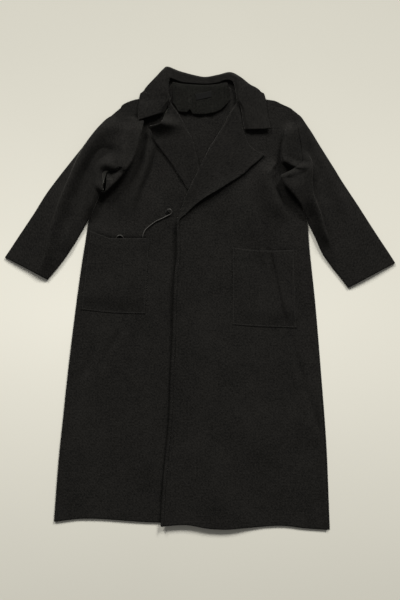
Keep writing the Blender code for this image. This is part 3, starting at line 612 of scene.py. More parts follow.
def crease_height(x, y, creases):
    """Sum of the bells of a table of creases, without their lean."""
    x, y = np.broadcast_arrays(x, y)
    total = np.zeros(x.shape)
    for rise, left, right, _, fade_in, fade_out, points in creases:
        total = total + rise * MM * crease_bell(x, y, left, right, fade_in, fade_out, points)[0]
    return total


def relief(x, y):
    """Height of the cloth over a flat lie, and its sideways lean.

    Folds, creases and waves add up, and a soft floor keeps the sum above the flat.
    """
    x, y = np.broadcast_arrays(x, y)
    height = fold_height(x, y) * (1.0 - ramp(y, *FOLDS_END_Y))
    shift = np.zeros(x.shape + (2,))
    for rise, left, right, lean, fade_in, fade_out, points in CREASES:
        bell, toward = crease_bell(x, y, left, right, fade_in, fade_out, points)
        height = height + rise * MM * bell
        shift = shift + lean * MM * bell[..., None] * toward
    height = height + waves(x, y)
    height = 0.5 * (height + np.sqrt(height**2 + RELIEF_FLOOR**2)) - 0.5 * RELIEF_FLOOR
    return height, shift


def neck_lift(x, y):
    """Height by which the layers ride over the collar's fall at the back neck."""
    return LAYER * ramp(y, *NECK_LIFT_Y) * ramp(np.abs(x), *NECK_LIFT_X)


def back_mid(x, y):
    """Middle of the back's cloth."""
    return CLOTH / 2.0 + neck_lift(x, y)


def under_mid(x, y):
    """Middle of the cloth of the right front, on the back."""
    return back_mid(x, y) + LAYER + relief(x, y)[0]


def roll_radius(y):
    """Radius of the turned edge: small along the front edge, soft along the lapel."""
    return EDGE_ROLL + (LAPEL_ROLL - EDGE_ROLL) * ramp(y, *LAPEL_FROM) * ramp(y, *LAPEL_TO)


def over_mid(x, y):
    """Middle of the cloth of the left front, on the right front and then on the back."""
    hidden_edge = look_up(UNDER_ROWS, 0, 2, y)
    covered = ramp(x, hidden_edge + LAP_RAMP, hidden_edge + LAP_CLEAR)
    height = under_mid(x, y) + covered * (2.0 * roll_radius(y) + LAYER + LAPEL_CLEAR)
    return height + crease_height(x, y, EDGE_CREASES)


def under_top(x, y):
    """Upper side of the right front's cloth."""
    return under_mid(x, y) + CLOTH / 2.0


# Meshes


def grid_normals(mid, ring):
    """Unit normals of a grid of points from the differences along its rows and columns."""
    down = np.gradient(mid, axis=0)
    if ring:
        across = np.roll(mid, -1, axis=1) - np.roll(mid, 1, axis=1)
    else:
        across = np.gradient(mid, axis=1)
    return unit(np.cross(across, down))


def rim_direction(mid, ring):
    """Directions out of the edges of a grid, in its surface."""
    out = np.zeros_like(mid)
    out[0] += unit(mid[0] - mid[1])
    out[-1] += unit(mid[-1] - mid[-2])
    if not ring:
        out[:, 0] += unit(mid[:, 0] - mid[:, 1])
        out[:, -1] += unit(mid[:, -1] - mid[:, -2])
    return unit(out)


def mesh_object(name, points, quads, corners, material):
    """Object with a smooth mesh of quads, its faces turned outwards, and a UV map in metres."""
    a, b, c, d = (points[quads[:, k]] for k in range(4))
    volume = np.einsum("ij,ij->", a, np.cross(b, c)) + np.einsum("ij,ij->", a, np.cross(c, d))
    if volume < 0.0:
        quads = quads[:, ::-1]
        corners = corners[:, ::-1]
    mesh = bpy.data.meshes.new(name)
    mesh.vertices.add(len(points))
    mesh.vertices.foreach_set("co", np.ascontiguousarray(points, dtype=np.float32).ravel())
    mesh.loops.add(quads.size)
    mesh.loops.foreach_set("vertex_index", np.ascontiguousarray(quads, dtype=np.int32).ravel())
    mesh.polygons.add(len(quads))
    mesh.polygons.foreach_set("loop_start", np.arange(0, quads.size, 4, dtype=np.int32))
    mesh.update(calc_edges=True)
    mesh.validate()
    mesh.shade_smooth()
    layer = mesh.uv_layers.new(name="cloth")
    layer.uv.foreach_set("vector", np.ascontiguousarray(corners, dtype=np.float32).ravel())
    mesh.materials.append(material)
    piece = bpy.data.objects.new(name, mesh)
    bpy.context.collection.objects.link(piece)
    return piece


def shell(name, mid, uv, thickness, material, ring=False):
    """Closed wall of cloth about a grid of points in its middle, with round rims.

    Both faces are the grid moved along its normals by half the thickness, which is one value or a grid, and a
    third row of points bulges from each free edge. In a ring the columns go all round, and uv has one more.
    """
    rows, cols = mid.shape[:2]
    normal = grid_normals(mid, ring)
    out = rim_direction(mid, ring)
    index = np.arange(rows * cols).reshape(rows, cols)
    right = np.roll(index, -1, axis=1) if ring else index[:, 1:]
    left = index if ring else index[:, :-1]
    quads = np.stack([left[:-1], right[:-1], right[1:], left[1:]], axis=-1).reshape(-1, 4)
    corners = np.stack([uv[:-1, :-1], uv[:-1, 1:], uv[1:, 1:], uv[1:, :-1]], axis=2).reshape(-1, 4, 2)
    if ring:
        loops = [index[0], index[-1][::-1]]
    else:
        loops = [np.concatenate([index[0, :-1], index[:-1, -1], index[-1, :0:-1], index[:0:-1, 0]])]
    flat_mid, flat_out = mid.reshape(-1, 3), out.reshape(-1, 3)
    flat_uv = uv[:, :cols].reshape(-1, 2)
    wall = np.broadcast_to(thickness, (rows, cols)).reshape(-1, 1)
    offset = 0.5 * wall * normal.reshape(-1, 3)
    blocks = [flat_mid + offset, flat_mid - offset]
    faces = [quads, quads[:, ::-1] + rows * cols]
    maps = [corners, corners[:, ::-1]]
    start = 2 * rows * cols
    for loop in loops:
        ahead = np.roll(loop, -1)
        rim = start + np.arange(len(loop))
        rim_ahead = np.roll(rim, -1)
        blocks.append(flat_mid[loop] + RIM_SHARE * wall[loop] * flat_out[loop])
        faces.append(np.stack([ahead, loop, rim, rim_ahead], axis=1))
        faces.append(np.stack([rim_ahead, rim, loop + rows * cols, ahead + rows * cols], axis=1))
        edge_uv = np.stack([flat_uv[ahead], flat_uv[loop], flat_uv[loop], flat_uv[ahead]], axis=1)
        maps += [edge_uv, edge_uv]
        start += len(loop)
    return mesh_object(name, np.concatenate(blocks), np.concatenate(faces), np.concatenate(maps), material)


def cloth_piece(node, mid, uv, thickness, material, ring=False):
    """One piece of cloth that stands for its solid: it hangs from the root and hides the solid."""
    piece = shell(node + "_cloth", mid, uv, thickness, material, ring)
    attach(piece, "root")
    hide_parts(node)


def points_at(x, y, z):
    """Grid of points from plan grids and heights."""
    return np.stack(np.broadcast_arrays(x, y, z), axis=-1)


# Pieces of cloth


def back_grid():
    """The back: rows between its two side edges, then the rise to the shoulders and the neck line."""
    y = fine_rows(BACK_ROWS, BACK_STEP)[:, None]
    left = look_up(BACK_ROWS, 0, 1, y)
    right = look_up(BACK_ROWS, 0, 2, y)
    columns = int((right - left).max() / BACK_STEP)
    share = np.linspace(0.0, 1.0, columns + 1)[None, :]
    x = left + (right - left) * share
    hem_start = y.min()
    y = y + ramp(y, HEM_SHIFT_FROM, hem_start) * (look_up(BACK_HEM, 0, 1, x) - hem_start)
    up = np.linspace(1.0, 0.0, BACK_TOP_STEPS + 1)[:-1, None]
    top_x = np.repeat(x[:1], BACK_TOP_STEPS, axis=0)
    top_y = y[:1] + up * (look_up(BACK_TOP, 0, 1, top_x) - y[:1])
    x = np.concatenate([top_x, x])
    y = np.concatenate([top_y, y])
    return points_at(x, y, back_mid(x, y))


def front_grid(rows, hem, mid, side, tip, lifts, tip_pull, creases):
    """A front from its side seam to its edge, round the roll and back as its lapel or narrow turned edge.

    side is +1 where the panel lies to the right of its edge. lifts raise the lapel's free edge off the panel,
    by a bell about each given height; tip_pull moves the lapel's tip up the coat; creases are the lapel's own.
    """
    y = fine_rows(rows, ROW_STEP)[:, None]
    outer = look_up(rows, 0, 1, y)
    edge = look_up(rows, 0, 2, y)
    turn = look_up(rows, 0, 3, y, tip)
    radius = roll_radius(y)
    centre = edge + side * radius
    share = np.linspace(0.0, 1.0, FRONT_COLUMNS + 1)[None, :]
    angle = np.linspace(-0.5 * math.pi, 0.5 * math.pi, ROLL_COLUMNS + 1)[None, 1:-1]
    turned = np.linspace(0.0, 1.0, LAPEL_COLUMNS + 1)[None, :]
    flat_x = outer + (centre - outer) * share
    lapel_x = centre + (turn - centre) * turned
    roll_x = centre - side * radius * np.cos(angle)
    hem_start = y.min()
    drop = ramp(y, HEM_SHIFT_FROM, hem_start)

    def shifted(x):
        return y + drop * (look_up(hem, 0, 1, x) - hem_start)

    base = mid(centre, shifted(centre))
    roll_z = base + radius + radius * np.sin(angle)
    settle = 1.0 - (1.0 - turned) ** 2
    lapel_z = mid(lapel_x, shifted(lapel_x)) + LAYER + LAPEL_CLEAR * settle
    lapel_z = lapel_z + (2.0 * radius - LAYER) * (1.0 - turned) ** 2
    for rise, at, spread in lifts:
        lapel_z = lapel_z + rise * MM * turned**2 * np.exp(-(((y - at * MM) / (spread * MM)) ** 2))
    lapel_z = lapel_z + settle * crease_height(lapel_x, shifted(lapel_x), creases)
    x = np.concatenate([flat_x, roll_x, lapel_x], axis=1)
    z = np.concatenate([mid(flat_x, shifted(flat_x)), roll_z, lapel_z], axis=1)
    points = points_at(x, shifted(x), z)
    lapel = slice(flat_x.shape[1] + roll_x.shape[1], None)
    points[:, lapel, 1] += tip_pull * turned**4 * np.exp(-(((y - tip) / TIP_PULL_WIDTH) ** 2))
    flat = slice(0, flat_x.shape[1])
    points[:, flat, :2] += relief(points[:, flat, 0], points[:, flat, 1])[1]
    seam = ramp(y, SEAM_Y[0], SEAM_Y[0] + SEAM_FADE) * ramp(y, SEAM_Y[1], SEAM_Y[1] - SEAM_FADE)
    seam = seam * ramp(np.abs(flat_x - outer), SEAM_REACH, 0.0)
    points[:, flat, 0] += side * SEAM_OUT * seam
    points[:, flat, 2] += SEAM_RISE * seam
    arc = arc_lengths(points, 1)
    at_roll = arc[:, flat_x.shape[1] + roll_x.shape[1] // 2][:, None]
    uv = np.stack(np.broadcast_arrays(edge + side * (at_roll - arc), points[..., 1]), axis=-1)
    return points, uv


def sleeve_grid(rings, front_rows, side, laps):
    """A sleeve: rings from the armhole to the cuff, flattened on the floor, each bent in plan.

    Each ring runs over the top from the outer fold to the under edge, round that edge, back along the floor
    and round the outer fold. The top is a low arch, raised by the folds.
    """
    table = smooth_rows(np.array(rings, dtype=float) * MM, SLEEVE_RING_SUB)
    outer_x, outer_y, bend_x, bend_y, under_x, under_y, puff = table.T[:, :, None]
    touching = side * look_up(front_rows, 0, 1, under_y) + UNDERARM_GAP
    under_x = np.where(under_y > TOUCHING_Y, side * np.maximum(side * under_x, touching), under_x)
    length = np.hypot(outer_x - under_x, outer_y - under_y)
    bend = LAYER / 2.0
    inset = (CLOTH / 2.0 + bend) / length

    def plan(t):
        x = (1.0 - t) ** 2 * outer_x + 2.0 * t * (1.0 - t) * bend_x + t**2 * under_x
        y = (1.0 - t) ** 2 * outer_y + 2.0 * t * (1.0 - t) * bend_y + t**2 * under_y
        x[0] = look_up(front_rows, 0, 1, y[0]) + side * ARMHOLE_GAP
        return x, y

    top_t = inset + (1.0 - 2.0 * inset) * np.linspace(0.0, 1.0, SLEEVE_TOP_COLUMNS + 1)[None, :]
    base_t = inset + (1.0 - 2.0 * inset) * np.linspace(1.0, 0.0, SLEEVE_BASE_COLUMNS + 1)[None, :]
    angle = np.linspace(0.5 * math.pi, -0.5 * math.pi, SLEEVE_EDGE_COLUMNS + 2)[None, 1:-1]
    reach = bend / length * np.cos(angle)
    near_t = 1.0 - inset + reach
    far_t = inset - reach[:, ::-1]
    t = np.concatenate([top_t, near_t, base_t, far_t], axis=1)
    x, y = plan(t)
    lift = neck_lift(x, y)
    height, shift = relief(x, y)
    top = slice(0, SLEEVE_TOP_COLUMNS + 1)
    near = slice(top.stop, top.stop + SLEEVE_EDGE_COLUMNS)
    base = slice(near.stop, near.stop + SLEEVE_BASE_COLUMNS + 1)
    far = slice(base.stop, None)
    arch = puff * (4.0 * t * (1.0 - t)) ** SLEEVE_TOP_POWER + height
    z = CLOTH / 2.0 + lift
    z[:, top] += LAYER + arch[:, top]
    z[:, near] += bend * (1.0 + np.sin(angle)) + arch[:, near] * (0.5 + 0.5 * np.sin(angle))
    z[:, far] += bend * (1.0 - np.sin(angle)) + arch[:, far] * (0.5 - 0.5 * np.sin(angle))
    lap = look_up(laps, 0, 1, under_y)
    lap_lift = look_up(laps, 0, 2, under_y)
    upper = np.zeros_like(t)
    upper[:, top] = 1.0
    upper[:, near] = 0.5 + 0.5 * np.sin(angle)
    edge_share = ramp(t, LAP_FROM, 1.0) * upper
    toward = unit(np.concatenate([under_x - bend_x, under_y - bend_y], axis=1))
    points = points_at(x, y, z + lap_lift * edge_share)
    points[:, top, :2] += shift[:, top]
    points[..., :2] += (lap * edge_share)[..., None] * toward[:, None, :]
    around = np.concatenate([points, points[:, :1]], axis=1)
    uv = np.stack([arc_lengths(around, 1), arc_lengths(around, 0)], axis=-1)
    return points, uv


def between_edges(lower, upper, u, v):
    """Plan of a piece between two edge lines: u runs along both, v from the lower to the upper one."""

    def along(rows):
        first, last = rows[0][0] * MM, rows[-1][0] * MM
        at = first + (last - first) * u
        return at, look_up(rows, 0, 1, at)

    lower_x, lower_y = along(lower)
    upper_x, upper_y = along(upper)
    return lower_x + (upper_x - lower_x) * v, lower_y + (upper_y - lower_y) * v


def pocket_grid(mouth, base, bag, mid):
    """A patch pocket laid on its front: pressed thin where it is sewn, lifted a little toward the mouth.

    The lift is a half ellipse across the pocket; a groove follows the stitching, and the hem is a low step.
    """
    width = (base[-1][0] - base[0][0]) * MM
    height = (mouth[0][1] - base[0][1]) * MM
    u = np.linspace(0.0, 1.0, int(width / POCKET_STEP))[None, :]
    v = np.linspace(0.0, 1.0, int(height / POCKET_STEP))[:, None]
    x, y = between_edges(base, mouth, u, v)
    from_side = np.minimum(u, 1.0 - u) * width
    from_base = v * height
    from_edge = np.minimum(from_side, from_base)
    lift = bag * np.sqrt(4.0 * u * (1.0 - u)) * ramp(v, 0.0, BAG_RISE_SHARE)
    groove = STITCH_GROOVE * np.exp(-(((from_edge - STITCH_IN) / STITCH_GROOVE_WIDTH) ** 2))
    hem = HEM_BAND_STEP * ramp(from_base, height - HEM_BAND - HEM_BAND_FADE, height - HEM_BAND)
    at_base = 1.0 - ramp(from_base, 0.0, SEWN_FADE)
    at_side = 1.0 - ramp(from_side, 0.0, SIDE_FADE)
    pressed = np.maximum((POCKET_CLOTH - SEWN_CLOTH) * at_base, (POCKET_CLOTH - SIDE_CLOTH) * at_side)
    wall = POCKET_CLOTH - pressed
    gap = POCKET_GAP - (POCKET_GAP - SEWN_GAP) * np.maximum(at_base, at_side)
    z = mid(x, y) + CLOTH / 2.0 + gap + wall / 2.0 + lift - groove + hem
    return points_at(x, y, z), np.stack(np.broadcast_arrays(x, y), axis=-1), wall


def collar_grid():
    """The collar: stand from the neck edge to the roll, then the fall, which folds under at its outer fold.

    Each station is a smooth curve through its stops. Where the half height of the fold is zero, at the ends,
    the fall stays on top of the fronts.
    """
    table = smooth_rows(np.array(COLLAR, dtype=float) * MM, COLLAR_SUB)
    neck, roll, fold, edge = table[:, 0:3], table[:, 3:6], table[:, 6:9], table[:, 10:13]
    half = np.maximum(table[:, 9:10], 0.0)
    up = np.array([[0.0, 0.0, 1.0]])
    flat = np.array([[1.0, 1.0, 0.0]])
    upper = fold + COLLAR_FOLD_REACH * unit((roll - fold) * flat) + half * up
    lower = fold + COLLAR_FOLD_REACH * unit((edge - fold) * flat) - half * up
    stops = [neck, 0.5 * (neck + roll), roll, 0.5 * (roll + upper), upper, fold, lower]
    stops += [lower + (edge - lower) * share for share in (1.0 / 3.0, 2.0 / 3.0, 1.0)]
    across = smooth_rows(np.stack(stops).reshape(len(stops), -1), COLLAR_ACROSS_SUB)
    points = across.reshape(len(across), len(table), 3).transpose(1, 0, 2).copy()
    uneven = points[..., 2] + COLLAR_WAVE_SHARE * waves(points[..., 0], points[..., 1])
    points[..., 2] = np.maximum(uneven, CLOTH / 2.0)
    uv = np.stack([arc_lengths(points, 0), arc_lengths(points, 1)], axis=-1)
    return points, uv


def facing_mid(x, y):
    """Middle of the facing's cloth, on the back and raised off it between its ends."""
    rest = back_mid(x, y) + CLOTH / 2.0 + SEAM_GAP + FACING_CLOTH / 2.0
    across = ramp(x, FACING_FLAT_X[0], FACING_FULL_X[0]) * ramp(x, FACING_FLAT_X[1], FACING_FULL_X[1])
    return rest + FACING_RISE * across * ramp(y, *FACING_RISE_Y)


def facing_grid():
    """The facing inside the back neck, between its two edges, with a wavy lower edge and wrinkles."""
    width = (FACING_BASE[-1][0] - FACING_BASE[0][0]) * MM
    height = (FACING_TOP[0][1] - FACING_BASE[0][1]) * MM
    u = np.linspace(0.0, 1.0, int(width / FACING_STEP))[None, :]
    v = np.linspace(0.0, 1.0, int(height / FACING_STEP))[:, None]
    x, y = between_edges(FACING_BASE, FACING_TOP, u, v)
    wave = FACING_WAVE * (1.0 - v) ** 2 * (1.0 + np.sin(u * width / FACING_WAVE_LENGTH * 2.0 * math.pi))
    z = facing_mid(x, y) + wave
    for at, rise, spread, top in FACING_WRINKLES:
        bell = np.exp(-(((x - at * MM) / (spread * MM)) ** 2))
        z = z + rise * MM * bell * ramp(y, top * MM, top * MM - FACING_WRINKLE_FADE)
    return points_at(x, y, z), np.stack(np.broadcast_arrays(x, y), axis=-1)


def label_grid():
    """A plain rectangular label on the facing, turned a little."""
    turn = math.radians(LABEL_TURN)
    u = np.linspace(-0.5, 0.5, LABEL_STEPS[0] + 1)[None, :] * LABEL_SIZE[0]
    v = np.linspace(-0.5, 0.5, LABEL_STEPS[1] + 1)[:, None] * LABEL_SIZE[1]
    x = LABEL_AT[0] + u * math.cos(turn) - v * math.sin(turn)
    y = LABEL_AT[1] + u * math.sin(turn) + v * math.cos(turn)
    z = facing_mid(x, y) + FACING_CLOTH / 2.0 + SEAM_GAP + LABEL_CLOTH / 2.0
    return points_at(x, y, z), np.stack(np.broadcast_arrays(u, v), axis=-1)


# Cord and stitches


def tube_along(name, path, radius, material):
    """Round cord carried along a path, closed at both ends, with a braid of crossing spiral ribs.

    The section turns with a frame that has no twist about +Z, and the radius shrinks between the spirals.
    """
    run = unit(np.gradient(path, axis=0))
    side = unit(np.cross(run, np.array([[0.0, 0.0, 1.0]])))
    over = np.cross(side, run)
    arc = arc_lengths(path, 0)
    phase = np.linspace(0.0, 2.0 * math.pi, CORD_AROUND, endpoint=False)[None, :]
    spiral = 2.0 * math.pi * CORD_TURNS * arc[:, None]
    braid = np.maximum(np.cos(CORD_STRANDS * phase + spiral), np.cos(CORD_STRANDS * phase - spiral))
    reach = radius * (1.0 - CORD_RIBS * (1.0 - braid))
    reach[[0, -1]] *= CORD_END_SHARE
    spokes = np.cos(phase)[..., None] * side[:, None] + np.sin(phase)[..., None] * over[:, None]
    points = path[:, None] + reach[..., None] * spokes
    index = np.arange(len(path) * CORD_AROUND).reshape(-1, CORD_AROUND)
    right = np.roll(index, -1, axis=1)
    quads = np.stack([index[:-1], right[:-1], right[1:], index[1:]], axis=-1).reshape(-1, 4)
    u = np.linspace(0.0, 2.0 * math.pi * radius, CORD_AROUND + 1)[None, :]
    uv = np.stack(np.broadcast_arrays(u, arc[:, None]), axis=-1)
    corners = np.stack([uv[:-1, :-1], uv[:-1, 1:], uv[1:, 1:], uv[1:, :-1]], axis=2).reshape(-1, 4, 2)
    k = np.arange(CORD_AROUND // 2 - 1)
    cap = np.stack([k, k + 1, CORD_AROUND - 2 - k, CORD_AROUND - 1 - k], axis=1)
    quads = np.concatenate([quads, index[0][cap][:, ::-1], index[-1][cap]])
    corners = np.concatenate([corners, np.zeros((2 * len(cap), 4, 2))])
    return mesh_object(name, points.reshape(-1, 3), quads, corners, material)


def stitches(name, places, runs, ups, material):
    """Rows of short raised thread stitches: each is a stretched ball on its place, along its run.

    A ball has as many rings as sides, and two quads close each of its ends.
    """
    along = np.linspace(-0.5 * math.pi, 0.5 * math.pi, STITCH_SIDES)
    turn = np.linspace(0.0, 2.0 * math.pi, STITCH_SIDES, endpoint=False)
    ring = np.maximum(np.cos(along), STITCH_TIP_SHARE)[:, None]
    a = (0.5 * STITCH_LENGTH * np.sin(along)[:, None] + 0.0 * turn[None, :]).ravel()
    b = (0.5 * STITCH_WIDTH * ring * np.cos(turn)[None, :]).ravel()
    c = (0.5 * STITCH_HEIGHT * ring * np.sin(turn)[None, :]).ravel()
    across = unit(np.cross(ups, runs))
    points = places[:, None] + a[None, :, None] * runs[:, None] + b[None, :, None] * across[:, None]
    points = (points + c[None, :, None] * ups[:, None]).reshape(-1, 3)
    index = np.arange(STITCH_SIDES**2).reshape(STITCH_SIDES, STITCH_SIDES)
    right = np.roll(index, -1, axis=1)
    quads = np.stack([index[:-1], right[:-1], right[1:], index[1:]], axis=-1).reshape(-1, 4)
    first = index[0][np.array([[3, 2, 1, 0], [0, 5, 4, 3]])]
    last = index[-1][np.array([[0, 1, 2, 3], [3, 4, 5, 0]])]
    one = np.concatenate([quads, first, last])
    faces = (one[None] + STITCH_SIDES**2 * np.arange(len(places))[:, None, None]).reshape(-1, 4)
    return mesh_object(name, points, faces, points[:, :2][faces], material)


def seam_line(grid, inset):
    """Line of a patch's grid along its sewn sides and base, some steps in from the edge."""
    return np.concatenate([grid[:inset:-1, inset], grid[inset, inset:-inset], grid[inset:, -1 - inset]])


def stitch_row(line, normals):
    """Places, runs and ups of stitches at an even pitch along a line of points with normals."""
    arc = arc_lengths(line, 0)

    def at(distance, values):
        return np.stack([np.interp(distance, arc, values[:, k]) for k in range(3)], axis=1)

    places = np.arange(0.5 * STITCH_PITCH, arc[-1], STITCH_PITCH)
    runs = unit(at(places + STITCH_AIM, line) - at(places - STITCH_AIM, line))
    return at(places, line), runs, unit(at(places, normals))


def upward(mid, thickness):
    """Upper face of a grid and its upward normals."""
    normal = grid_normals(mid, False)
    normal = normal * np.sign(normal[..., 2:3])
    return mid + 0.5 * thickness * normal, normal


# Materials


def set_inputs(node, values):
    """Values of a node's sockets, by the sockets' names."""
    for socket, value in values.items():
        node.inputs[socket].default_value = value


def new_material(name):
    """A material with its Principled shader, and its nodes and links."""
    material = bpy.data.materials.new(name)
    material.use_nodes = True
    nodes, links = material.node_tree.nodes, material.node_tree.links
    return material, nodes["Principled BSDF"], nodes, links


def add_bump(height, bump, shader, nodes, links):
    """Bump from a height into a shader's normal; bump is its strength and distance."""
    node = nodes.new("ShaderNodeBump")
    set_inputs(node, {"Strength": bump[0], "Distance": bump[1]})
    links.new(height, node.inputs["Height"])
    links.new(node.outputs["Normal"], shader.inputs["Normal"])


def nap_group():
    """Node group of a felted wool face: mottled colour, roughness and a height of fibres over a soft twill.

    Colour is the base mixed with a lighter fleck by fibre noise and by broad mottling; height adds diagonal
    twill bands, fibres and crumbs.
    """
    group = bpy.data.node_groups.new("wool_nap", "ShaderNodeTree")
    for name, kind in (("Base", "Color"), ("Fleck", "Color"), ("Twill", "Float")):
        group.interface.new_socket(name, in_out="INPUT", socket_type="NodeSocket" + kind)
    for name, kind in (("Colour", "Color"), ("Roughness", "Float"), ("Height", "Float")):
        group.interface.new_socket(name, in_out="OUTPUT", socket_type="NodeSocket" + kind)
    nodes, links = group.nodes, group.links
    given = nodes.new("NodeGroupInput")
    result = nodes.new("NodeGroupOutput")
    uv = nodes.new("ShaderNodeUVMap")
    uv.uv_map = "cloth"
    place = nodes.new("ShaderNodeTexCoord")

    def noise(source, settings):
        node = nodes.new("ShaderNodeTexNoise")
        set_inputs(node, dict(zip(("Scale", "Detail", "Roughness"), settings)))
        links.new(source, node.inputs["Vector"])
        return node.outputs["Fac"]

    def math_node(operation, a, b):
        node = nodes.new("ShaderNodeMath")
        node.operation = operation
        for socket, value in zip(node.inputs, (a, b)):
            if isinstance(value, float):
                socket.default_value = value
            else:
                links.new(value, socket)
        return node.outputs[0]

    def mixture(values, shares):
        total = math_node("MULTIPLY", values[0], shares[0])
        for value, share in zip(values[1:], shares[1:]):
            total = math_node("ADD", total, math_node("MULTIPLY", value, share))
        return total

    def spread(value, ends, limits):
        node = nodes.new("ShaderNodeMapRange")
        set_inputs(node, dict(zip(ends, limits)))
        links.new(value, node.inputs["Value"])
        return node.outputs["Result"]

    stretch = nodes.new("ShaderNodeMapping")
    set_inputs(stretch, {"Rotation": (0.0, 0.0, FIBRE_TURN), "Scale": FIBRE_STRETCH})
    links.new(uv.outputs["UV"], stretch.inputs["Vector"])
    fibres = noise(stretch.outputs["Vector"], FIBRES)
    crumbs = noise(uv.outputs["UV"], CRUMBS)
    mottle = noise(place.outputs["Object"], MOTTLE)
    clouds = noise(place.outputs["Object"], CLOUDS)
    twill = nodes.new("ShaderNodeTexWave")
    twill.wave_type = "BANDS"
    twill.bands_direction = "DIAGONAL"
    set_inputs(twill, TWILL_WAVE)
    links.new(uv.outputs["UV"], twill.inputs["Vector"])
    amount = mixture((fibres, crumbs, mottle, clouds), COLOUR_SHARES)
    mix = nodes.new("ShaderNodeMix")
    mix.data_type = "RGBA"
    links.new(spread(amount, ("From Min", "From Max"), FLECK_RANGE), mix.inputs["Factor"])
    links.new(given.outputs["Base"], mix.inputs["A"])
    links.new(given.outputs["Fleck"], mix.inputs["B"])
    links.new(mix.outputs["Result"], result.inputs["Colour"])
    links.new(spread(crumbs, ("To Min", "To Max"), ROUGHNESS_RANGE), result.inputs["Roughness"])
    height = mixture((twill.outputs["Fac"], fibres, crumbs), (given.outputs["Twill"], *HEIGHT_SHARES))
    links.new(height, result.inputs["Height"])
    return group


def wool(name, group, tones, sheen):
    """Dark wool: the nap group's colour, roughness and bump, with a soft sheen of raised fibres."""
    material, shader, nodes, links = new_material(name)
    nap = nodes.new("ShaderNodeGroup")
    nap.node_tree = group
    set_inputs(nap, {"Base": tones[0], "Fleck": tones[1], "Twill": TWILL})
    links.new(nap.outputs["Colour"], shader.inputs["Base Color"])
    links.new(nap.outputs["Roughness"], shader.inputs["Roughness"])
    add_bump(nap.outputs["Height"], WOOL_BUMP, shader, nodes, links)
    set_inputs(shader, {"Specular IOR Level": WOOL_SPECULAR, "Sheen Weight": sheen})
    set_inputs(shader, {"Sheen Roughness": SHEEN_ROUGHNESS, "Sheen Tint": SHEEN_COLOUR})
    return material


def yarn_material(name, texture, settings, tones, finish, bands="", bump=()):
    """Yarn that goes from a dark to a light tone by a texture on its UV map, which may also raise it.

    finish is roughness and specular level; bump is strength and distance.
    """
    material, shader, nodes, links = new_material(name)
    uv = nodes.new("ShaderNodeUVMap")
    uv.uv_map = "cloth"
    pattern = nodes.new(texture)
    if bands:
        pattern.bands_direction = bands
    set_inputs(pattern, settings)
    links.new(uv.outputs["UV"], pattern.inputs["Vector"])
    colour = nodes.new("ShaderNodeValToRGB")
    for element, tone in zip(colour.color_ramp.elements, tones):
        element.color = tone
    links.new(pattern.outputs["Fac"], colour.inputs["Fac"])
    links.new(colour.outputs["Color"], shader.inputs["Base Color"])
    if bump:
        add_bump(pattern.outputs["Fac"], bump, shader, nodes, links)
    set_inputs(shader, {"Roughness": finish[0], "Specular IOR Level": finish[1]})
    return material


def braid_material():
    """Cord: a slightly shiny dark braid with fine diagonal yarns."""
    return yarn_material(
        "cord_braid", "ShaderNodeTexWave", CORD_WAVE, CORD_TONES, CORD_FINISH, "DIAGONAL", CORD_BUMP)


def thread_material(name, tones):
    """Sewing thread: twisted and a little shiny, between two tones."""
    return yarn_material(name, "ShaderNodeTexNoise", THREAD_NOISE, tones, THREAD_FINISH)


def ribbon_material():
    """Label: a plain dark ribbon with fine cross ribs."""
    return yarn_material(
        "label_ribbon", "ShaderNodeTexWave", LABEL_WAVE, LABEL_TONES, LABEL_FINISH, "X", LABEL_BUMP)


def floor_material():
    """Floor: pale warm grey, faintly uneven, with painted shade that darkens it away from the middle."""
    material, shader, nodes, links = new_material("pale_floor")
    place = nodes.new("ShaderNodeTexCoord")
    cloud = nodes.new("ShaderNodeTexNoise")
    set_inputs(cloud, {"Scale": FLOOR_SPOT_SCALE})
    links.new(place.outputs["Object"], cloud.inputs["Vector"])
    # painted shade: a squeezed gradient from the floor's middle mixes the pale tone toward the darker far tone
    squeeze = nodes.new("ShaderNodeMapping")
    set_inputs(squeeze, {"Location": FLOOR_MIDDLE, "Scale": FLOOR_SHADE_SCALE})
    links.new(place.outputs["Object"], squeeze.inputs["Vector"])
    away = nodes.new("ShaderNodeTexGradient")
    away.gradient_type = "QUADRATIC_SPHERE"
    links.new(squeeze.outputs["Vector"], away.inputs["Vector"])
    shade = nodes.new("ShaderNodeMix")
    shade.data_type = "RGBA"
    set_inputs(shade, {"A": FLOOR_PAINTED_SHADE, "B": FLOOR_PALE})
    links.new(away.outputs["Fac"], shade.inputs["Factor"])
    spots = nodes.new("ShaderNodeMapRange")
    set_inputs(spots, dict(zip(("To Min", "To Max"), FLOOR_SPOTS)))
    links.new(cloud.outputs["Fac"], spots.inputs["Value"])
    colour = nodes.new("ShaderNodeVectorMath")
    colour.operation = "SCALE"
    links.new(shade.outputs["Result"], colour.inputs[0])
    links.new(spots.outputs["Result"], colour.inputs["Scale"])
    links.new(colour.outputs["Vector"], shader.inputs["Base Color"])
    set_inputs(shader, {"Roughness": FLOOR_FINISH[0], "Specular IOR Level": FLOOR_FINISH[1]})
    return material


# Light


def window(name, place, power):
    """Square soft light at a place, turned to the middle of the floor."""
    lamp = bpy.data.lights.new(name, "AREA")
    lamp.size = WINDOW_SIZE
    lamp.energy = power
    lamp.color = WINDOW_COLOUR
    light = bpy.data.objects.new(name, lamp)
    bpy.context.collection.objects.link(light)
    light.location = place
    flat = math.hypot(place[0], place[1])
    light.rotation_euler = (math.atan2(flat, place[2]), 0.0, math.atan2(place[0], -place[1]))


# The coat

nap = nap_group()
wool_face = wool("coat_wool", nap, WOOL_TONES, WOOL_SHEEN)
wool_facing = wool("facing_wool", nap, FACING_TONES, FACING_SHEEN)
eyelet_thread = thread_material("eyelet_thread", EYELET_TONES)
pocket_thread = thread_material("pocket_thread", STITCH_TONES)

back_points = back_grid()
cloth_piece("back", back_points, back_points[..., :2], CLOTH, wool_face)

